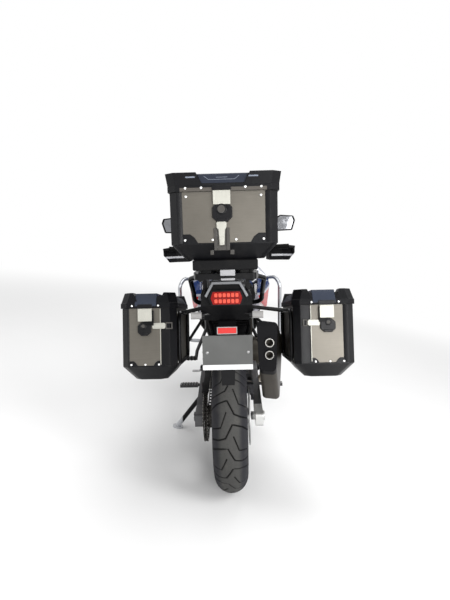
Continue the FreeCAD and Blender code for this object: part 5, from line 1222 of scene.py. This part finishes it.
class MOTORCYCLE_OT_finishes(bpy.types.Operator):
    """Give every part of the frame its finish"""
    bl_idname = "motorcycle.finishes"
    bl_label = "Finishes"

    def execute(self, context):
        paint, cases = context.scene.motorcycle_paint, context.scene.motorcycle_cases
        blue, white, red = (tuple(c) for c in (paint.blue, paint.white, paint.red))
        black = moulded("trim_plastic", SOOT)
        satin = painted("frame_paint", SOOT, 0.38)
        tube = painted("rack_paint", SOOT, 0.32)
        sheet = brushed("case_sheet", tuple(cases.panel), "x", 0.42, 0.7)
        lilac = (0.42, 0.41, 0.47)
        caliper = painted("caliper_coat", (0.02, 0.02, 0.022), 0.4, 0.5)
        table = {
            "main_frame": satin, "subframe": satin,
            "side_stand": zoned("stand_paint", COAL, [
                (lambda x, y, z: below(x, -0.292, -0.288), (0.45, 0.46, 0.48), 0.4)], 0.4),
            "engine": zoned("engine_coat", (0.014, 0.014, 0.015), [
                (lambda x, y, z: above(abs(x), 0.134, 0.136), (0.040, 0.036, 0.030), 0.42),
                (lambda x, y, z: above(z, 0.745, 0.75), (0.05, 0.05, 0.052), 0.45)], 0.46, 0.5, grain=0.0002),
            "radiators": self.cores(),
            "exhaust_pipes": self.headers(),
            "silencer": zoned("silencer_coat", (0.060, 0.054, 0.046), [
                (lambda x, y, z: below(self.along_silencer(y, z), -0.098, -0.097), (0.008, 0.008, 0.009), 0.4),
                (lambda x, y, z: self.rims(x, y, z, 18.9, 15.4), (0.60, 0.59, 0.56), 0.3),
                # dark disc over each outlet's bore: soot, and painted shade of the open pipe
                (lambda x, y, z: self.rims(x, y, z, 15.4, 0.0), (0.010, 0.009, 0.008), 0.8)], 0.4, 0.5),
            "skid_plate": brushed("skid_alloy", (0.45, 0.46, 0.47), "y", 0.4, 0.85),
            "crash_bars": brushed("guard_bar_steel", (0.40, 0.41, 0.43), "z", 0.3, 0.9),
            "fuel_tank": self.enamel("tank_paint", blue, 0.4),
            "side_fairings": zoned("fairing_paint", white, [
                (lambda x, y, z: below(z - (y - 0.85) * 0.25, 0.792, 0.794) * below(y, 1.0, 1.002), red, 0.2),
                (lambda x, y, z: above(z - (y - 0.85) * 0.25, 0.808, 0.810), blue, 0.2)], 0.25, coat=0.4,
                grain=0.00002),
            "front_cowl": self.enamel("cowl_paint", blue, 0.4),
            "headlamps": lens("headlamp_lens", (0.80, 0.84, 0.88), 0.05, through=0.6),
            "windscreen": lens("screen_plastic", (0.86, 0.90, 0.93), 0.04, through=0.95),
            "instrument_panel": painted("display_housing", (0.008, 0.008, 0.009), 0.3, coat=0.5),
            "rider_seat": seat_cover("seat_vinyl", (0.012, 0.012, 0.0125)),
            "pillion_seat": seat_cover("pillion_vinyl", (0.011, 0.011, 0.0115)),
            "side_covers": zoned("side_cover_plastic", COAL, [
                (lambda x, y, z: above(z - (y - 0.33) * 0.1, 0.788, 0.790), lilac, 0.35)], 0.5),
            "tail_unit": black, "chain_guard": black,
            "plate_hanger": zoned("hanger_plastic", COAL, [
                (lambda x, y, z: inside(x, -0.0355, 0.0355) * inside(z, 0.8065, 0.8295) *
                 below(y, -0.3512, -0.3508), (0.62, 0.02, 0.012), 0.12)], 0.5),
            "tail_lamp": self.tail_lens(),
            "rear_indicators": zoned("indicator_shell", COAL, [
                (lambda x, y, z: above(abs(x), 0.098, 0.100), (0.26, 0.255, 0.25), 0.14)], 0.4, coat=0.4),
            "number_plate": zoned("plate_enamel", (0.085, 0.086, 0.084), [
                (lambda x, y, z: below(z, 0.6835, 0.684), (0.62, 0.62, 0.62), 0.35)], 0.35),
            "rear_carrier": painted("carrier_coat", SOOT, 0.4),
            "case_locks": moulded("lock_body", COAL, 0.36),
            "pannier_racks": tube,
            "swing_arm": zoned("arm_alloy", (0.085, 0.085, 0.088), [
                (lambda x, y, z: below(y, 0.058, 0.060) * above(x, 0.10, 0.11), (0.55, 0.55, 0.54), 0.35)],
                0.42, 0.6, grain=0.0001),
            "rear_shock": zoned("shock_paint", (0.30, 0.30, 0.31), [
                (lambda x, y, z: above(z, 0.60, 0.602), (0.02, 0.02, 0.02), 0.4)], 0.35, 0.3),
            "drive_chain": oiled_chain("chain_links"), "rear_sprocket": oiled_chain("sprocket_steel"),
            "rear_caliper": caliper, "front_calipers": caliper,
            "footpegs": painted("peg_coat", (0.05, 0.05, 0.052), 0.4, 0.6),
            "foot_controls": brushed("lever_steel", (0.36, 0.36, 0.36), "x", 0.35, 0.85),
            "fork": zoned("fork_anodised", (0.36, 0.25, 0.09), [
                (lambda x, y, z: self.up_fork(y, z, 0.622), (0.55, 0.55, 0.56), 0.12),
                (lambda x, y, z: self.up_fork(y, z, 0.345), (0.05, 0.05, 0.052), 0.45)], 0.26, 0.85, grain=0.00002),
            "front_fender": self.enamel("fender_paint", blue, 1.0),
            "handlebar": zoned("bar_anodised", (0.30, 0.31, 0.32), [
                (lambda x, y, z: above(abs(x), 0.243, 0.245) * below(y + (abs(x) - 0.276) * 0.3164, 1.163, 1.164),
                 (0.008, 0.008, 0.008), 0.62)], 0.32, 0.8),
            "hand_guards": zoned("guard_plastic", COAL, [
                (lambda x, y, z: inside(z, 1.028, 1.042) * above(abs(x), 0.30, 0.302), (0.55, 0.55, 0.57), 0.4)],
                0.45),
            "mirrors": moulded("mirror_housing", COAL, 0.4),
            "front_rim": self.wire_wheel("front_wheel_paint", WHEELBASE, FRONT_Z, FRONT_TYRE[2]),
            "rear_rim": self.wire_wheel("rear_wheel_paint", 0.0, REAR_Z, REAR_TYRE[2]),
            "front_discs": ground_disc("front_disc_steel", (0.50, 0.50, 0.50), (WHEELBASE, FRONT_Z)),
            "rear_disc": ground_disc("rear_disc_steel", (0.50, 0.50, 0.50), (0.0, REAR_Z)),
            "front_tyre": tyre_rubber("front_carcass"), "rear_tyre": tyre_rubber("rear_carcass"),
        }
        for case in CASES:
            table[case + "_body"] = sheet
        for case in ("left_pannier", "right_pannier"):
            table[case + "_lid"] = moulded(case + "_lid_plastic", tuple(cases.moulding), 0.45)
        table["top_case_lid"] = zoned("top_lid_plastic", (0.0035, 0.0036, 0.0045), [
            (lambda x, y, z: inside(z, 1.3245, 1.337) * inside(x, -0.150, 0.150) *
             below(y, -0.4375, -0.437), (0.075, 0.068, 0.060), 0.42)], 0.42, grain=0.0001)
        for name, obj in frame["nodes"].items():
            obj.data.materials.clear()
            obj.data.materials.append(table[name])
        return {"FINISHED"}

    def enamel(self, name, colour, coat):
        return painted(name, colour, 0.25, 0.2, (0.03, 0.05, 0.12), 0.00002, coat)

    def rims(self, x, y, z, outer, inner):
        """The outlets' ends between two radii in millimetres, behind the end cap."""
        ring = None
        for height in (717, 660):
            one = round_spot(x, z, (176, height), outer)
            if inner:
                one = one - round_spot(x, z, (176, height), inner)
            ring = one if ring is None else ring + one
        return ring * below(self.along_silencer(y, z), -0.1135, -0.1125)

    def along_silencer(self, y, z):
        """Place along the silencer's rising axis."""
        return y + (z - 0.596) * 0.1856

    def up_fork(self, y, z, height):
        """1 below a height along the steering axis."""
        rake = math.radians(27.5)
        along = z * math.cos(rake) - (y - (WHEELBASE + 113) / 1000) * math.sin(rake)
        return below(along, height - 0.0005, height + 0.0005)

    def wire_wheel(self, name, y0, z0, bead):
        """Black rim and hub with bright stainless spokes between them, told apart by the radius."""
        f = Finish(name, Metallic=0.7, Specular_IOR_Level=0.4)
        x, y, z = f.axes()
        dy, dz = y - y0 / 1000, z - z0 / 1000
        radius = (dy * dy + dz * dz).root()
        spokes = inside(radius, 0.0475, (bead - 17.6) / 1000)
        grime = f.noise(50.0, 5.0)
        dark = f.blend(grime, (0.007, 0.007, 0.0075), (0.014, 0.014, 0.0145))
        f.put(Base_Color=f.blend(spokes, dark, f.blend(grime, (0.42, 0.42, 0.42), (0.60, 0.60, 0.60))),
              Roughness=grime * 0.2 + 0.25, Normal=f.bump(f.noise(700.0, 2.0), 0.00003, f.soft_edge(0.0008)))
        return f.material

    def cores(self):
        """Radiator cores with fine level fins between black tanks."""
        f = Finish("radiator_coat", Metallic=0.3, Specular_IOR_Level=0.3)
        x, y, z = f.axes()
        across = abs(x)
        core = inside(across, 0.118, 0.154)
        fins = f.node("ShaderNodeTexWave", {"bands_direction": "Z"}, {"Vector": f.place(), "Scale": 160.0})
        grit = f.noise(90.0, 4.0)
        f.put(Base_Color=f.blend(core, (0.008, 0.008, 0.009), f.blend(fins, (0.02, 0.02, 0.02), (0.10, 0.10, 0.10))),
              Roughness=grit * 0.2 + 0.4, Normal=f.bump(fins * core, 0.0008, f.soft_edge(0.001)))
        return f.material

    def headers(self):
        """Stainless pipes, straw and blue near the head and greyer towards the silencer."""
        f = Finish("header_steel", Metallic=0.9)
        x, y, z = f.axes()
        stain = f.noise(14.0, 5.0)
        hot = above(z + stain * 0.12, 0.50, 0.72) * above(y, 0.9, 0.95)
        warm = f.blend(stain, (0.30, 0.24, 0.17), (0.42, 0.36, 0.28))
        f.put(Base_Color=f.blend(hot, warm, f.blend(stain, (0.30, 0.16, 0.05), (0.10, 0.11, 0.24))),
              Roughness=stain * 0.25 + 0.2, Normal=f.bump(f.noise(300.0, 3.0), 0.00005))
        return f.material

    def tail_lens(self):
        """Glowing red lens on a black housing."""
        f = Finish("tail_lens", Coat_Weight=0.15, Specular_IOR_Level=0.1, Emission_Strength=0.13)
        x, y, z = f.axes()
        flute = f.node("ShaderNodeTexWave", {"bands_direction": "X"}, {"Vector": f.place(), "Scale": 60.0})
        lit = below(y, -0.3198, -0.3194)
        red = f.blend(flute, (0.10, 0.003, 0.003), (0.16, 0.005, 0.004))
        f.put(Base_Color=f.blend(lit, (0.008, 0.008, 0.009), red),
              Emission_Color=f.blend(lit, (0.0, 0.0, 0.0), f.blend(flute, (0.8, 0.010, 0.005), (1.0, 0.03, 0.01))),
              Roughness=flute * 0.05 + 0.1, Normal=f.bump(flute * lit, 0.0002))
        return f.material


class MOTORCYCLE_OT_stage(bpy.types.Operator):
    """Set the floor, the soft lights and the camera"""
    bl_idname = "motorcycle.stage"
    bl_label = "Stage"

    def execute(self, context):
        s = context.scene.motorcycle_stage
        scene = context.scene
        scene.view_settings.view_transform = "Standard"
        mesh = bpy.data.meshes.new("floor")
        reach = 40.0
        mesh.from_pydata([(-reach, -reach, 0), (reach, -reach, 0), (reach, reach, 0), (-reach, reach, 0)], [],
                         [(0, 1, 2, 3)])
        floor = bpy.data.objects.new("floor", mesh)
        scene.collection.objects.link(floor)
        mesh.materials.append(self.floor_finish(tuple(s.floor)))
        self.world(scene, s.ambient)
        for name, at, size, share in (("key", (2.6, -3.2, 3.4), 2.2, 1.0), ("fill", (-3.4, -2.6, 2.2), 2.6, 0.4),
                                      ("front", (0.5, 4.2, 3.2), 2.6, 0.6), ("top", (0.0, -0.3, 4.4), 2.4, 0.5),
                                      ("strip", (1.9, -4.8, 1.2), 2.0, 1.05)):
            self.lamp(scene, name, at, size, s.key * share)
        self.camera(scene, s.lens)
        return {"FINISHED"}

    def floor_finish(self, colour):
        """Pale floor near the machine that turns by distance into the background's plain white."""
        f = Finish("floor_finish", Roughness=0.9, Specular_IOR_Level=0.0, Emission_Strength=1.0)
        here = f.node("ShaderNodeTexCoord", output="Object")
        far = f.ramp(f.node("ShaderNodeVectorMath", {"operation": "LENGTH"}, {0: here}, output="Value"), 1.6, 7.0)
        near = f.blend(f.noise(3.0, 4.0), tint(colour, 0.99), tint(colour, 1.01))
        f.put(Base_Color=f.blend(far, near, (0.0, 0.0, 0.0)),
              Emission_Color=f.blend(far, (0.0, 0.0, 0.0), (1.0, 1.0, 1.0)))
        return f.material

    def world(self, scene, strength):
        """Even surrounding light that rays from the camera, gloss and glass see as white."""
        world = bpy.data.worlds.new("studio")
        world.use_nodes = True
        scene.world = world
        nodes, links = world.node_tree.nodes, world.node_tree.links
        back = nodes["Background"]
        back.inputs["Color"].default_value = (1, 1, 1, 1)
        rays = nodes.new("ShaderNodeLightPath")
        total = rays.outputs["Is Camera Ray"]
        for ray in ("Is Glossy Ray", "Is Transmission Ray"):
            either = nodes.new("ShaderNodeMath")
            either.operation = "MAXIMUM"
            links.new(total, either.inputs[0])
            links.new(rays.outputs[ray], either.inputs[1])
            total = either.outputs[0]
        span = nodes.new("ShaderNodeMapRange")
        span.inputs["To Min"].default_value = strength
        span.inputs["To Max"].default_value = 1.0
        links.new(total, span.inputs["Value"])
        links.new(span.outputs[0], back.inputs["Strength"])

    def lamp(self, scene, name, at, size, power):
        light = bpy.data.lights.new(name, "AREA")
        light.energy, light.size = power, size
        obj = bpy.data.objects.new(name, light)
        scene.collection.objects.link(obj)
        obj.location = at
        aim = Vector((0, -0.3, 0.7)) - Vector(at)
        obj.rotation_euler = aim.to_track_quat("-Z", "Y").to_euler()

    def camera(self, scene, focal):
        """Behind the machine at the height of its lights, level with the leaned frame."""
        data = bpy.data.cameras.new("camera")
        data.lens, data.sensor_width, data.sensor_fit = focal, 36.0, "AUTO"
        data.clip_start, data.clip_end = 0.05, 100.0
        obj = bpy.data.objects.new("camera", data)
        scene.collection.objects.link(obj)
        obj.location = Vector(parked(np.array(CAMERA_AT)))
        turn = Matrix.Rotation(-LEAN, 3, "Y") @ Matrix.Rotation(CAMERA_YAW, 3, "Z")
        turn = turn @ Matrix.Rotation(CAMERA_TILT, 3, "X") @ Matrix.Rotation(CAMERA_ROLL, 3, "Z")
        obj.rotation_euler = turn.to_euler()
        scene.camera = obj


class MOTORCYCLE_PT_panel(bpy.types.Panel):
    """Lists the pieces of the motorcycle"""
    bl_label = "Motorcycle"
    bl_idname = "MOTORCYCLE_PT_panel"
    bl_space_type = "VIEW_3D"
    bl_region_type = "UI"
    bl_category = "Motorcycle"

    def draw(self, context):
        for operator in OPERATORS:
            self.layout.operator(operator.bl_idname)
        for group in GROUPS:
            box = self.layout.box()
            settings = getattr(context.scene, group)
            for key in settings.__annotations__:
                box.prop(settings, key)


GROUPS = {
    "motorcycle_cases": CaseSettings,
    "motorcycle_tyres": TyreSettings,
    "motorcycle_paint": PaintSettings,
    "motorcycle_seats": SeatSettings,
    "motorcycle_stage": StageSettings,
}
OPERATORS = (
    MOTORCYCLE_OT_finishes,
    MOTORCYCLE_OT_tyres,
    MOTORCYCLE_OT_case_trim,
    MOTORCYCLE_OT_seats,
    MOTORCYCLE_OT_tail,
    MOTORCYCLE_OT_controls,
    MOTORCYCLE_OT_machine,
    MOTORCYCLE_OT_stage,
)


def register():
    for cls in (*GROUPS.values(), *OPERATORS, MOTORCYCLE_PT_panel):
        bpy.utils.register_class(cls)
    for name, cls in GROUPS.items():
        setattr(bpy.types.Scene, name, PointerProperty(type=cls))


def unregister():
    for name in GROUPS:
        delattr(bpy.types.Scene, name)
    for cls in reversed((*GROUPS.values(), *OPERATORS, MOTORCYCLE_PT_panel)):
        bpy.utils.unregister_class(cls)


def main():
    register()
    bpy.ops.motorcycle.finishes()
    bpy.ops.motorcycle.tyres()
    bpy.ops.motorcycle.case_trim()
    bpy.ops.motorcycle.seats()
    bpy.ops.motorcycle.tail()
    bpy.ops.motorcycle.controls()
    bpy.ops.motorcycle.machine()
    bpy.ops.motorcycle.stage()


if __name__ == "__main__":
    main()
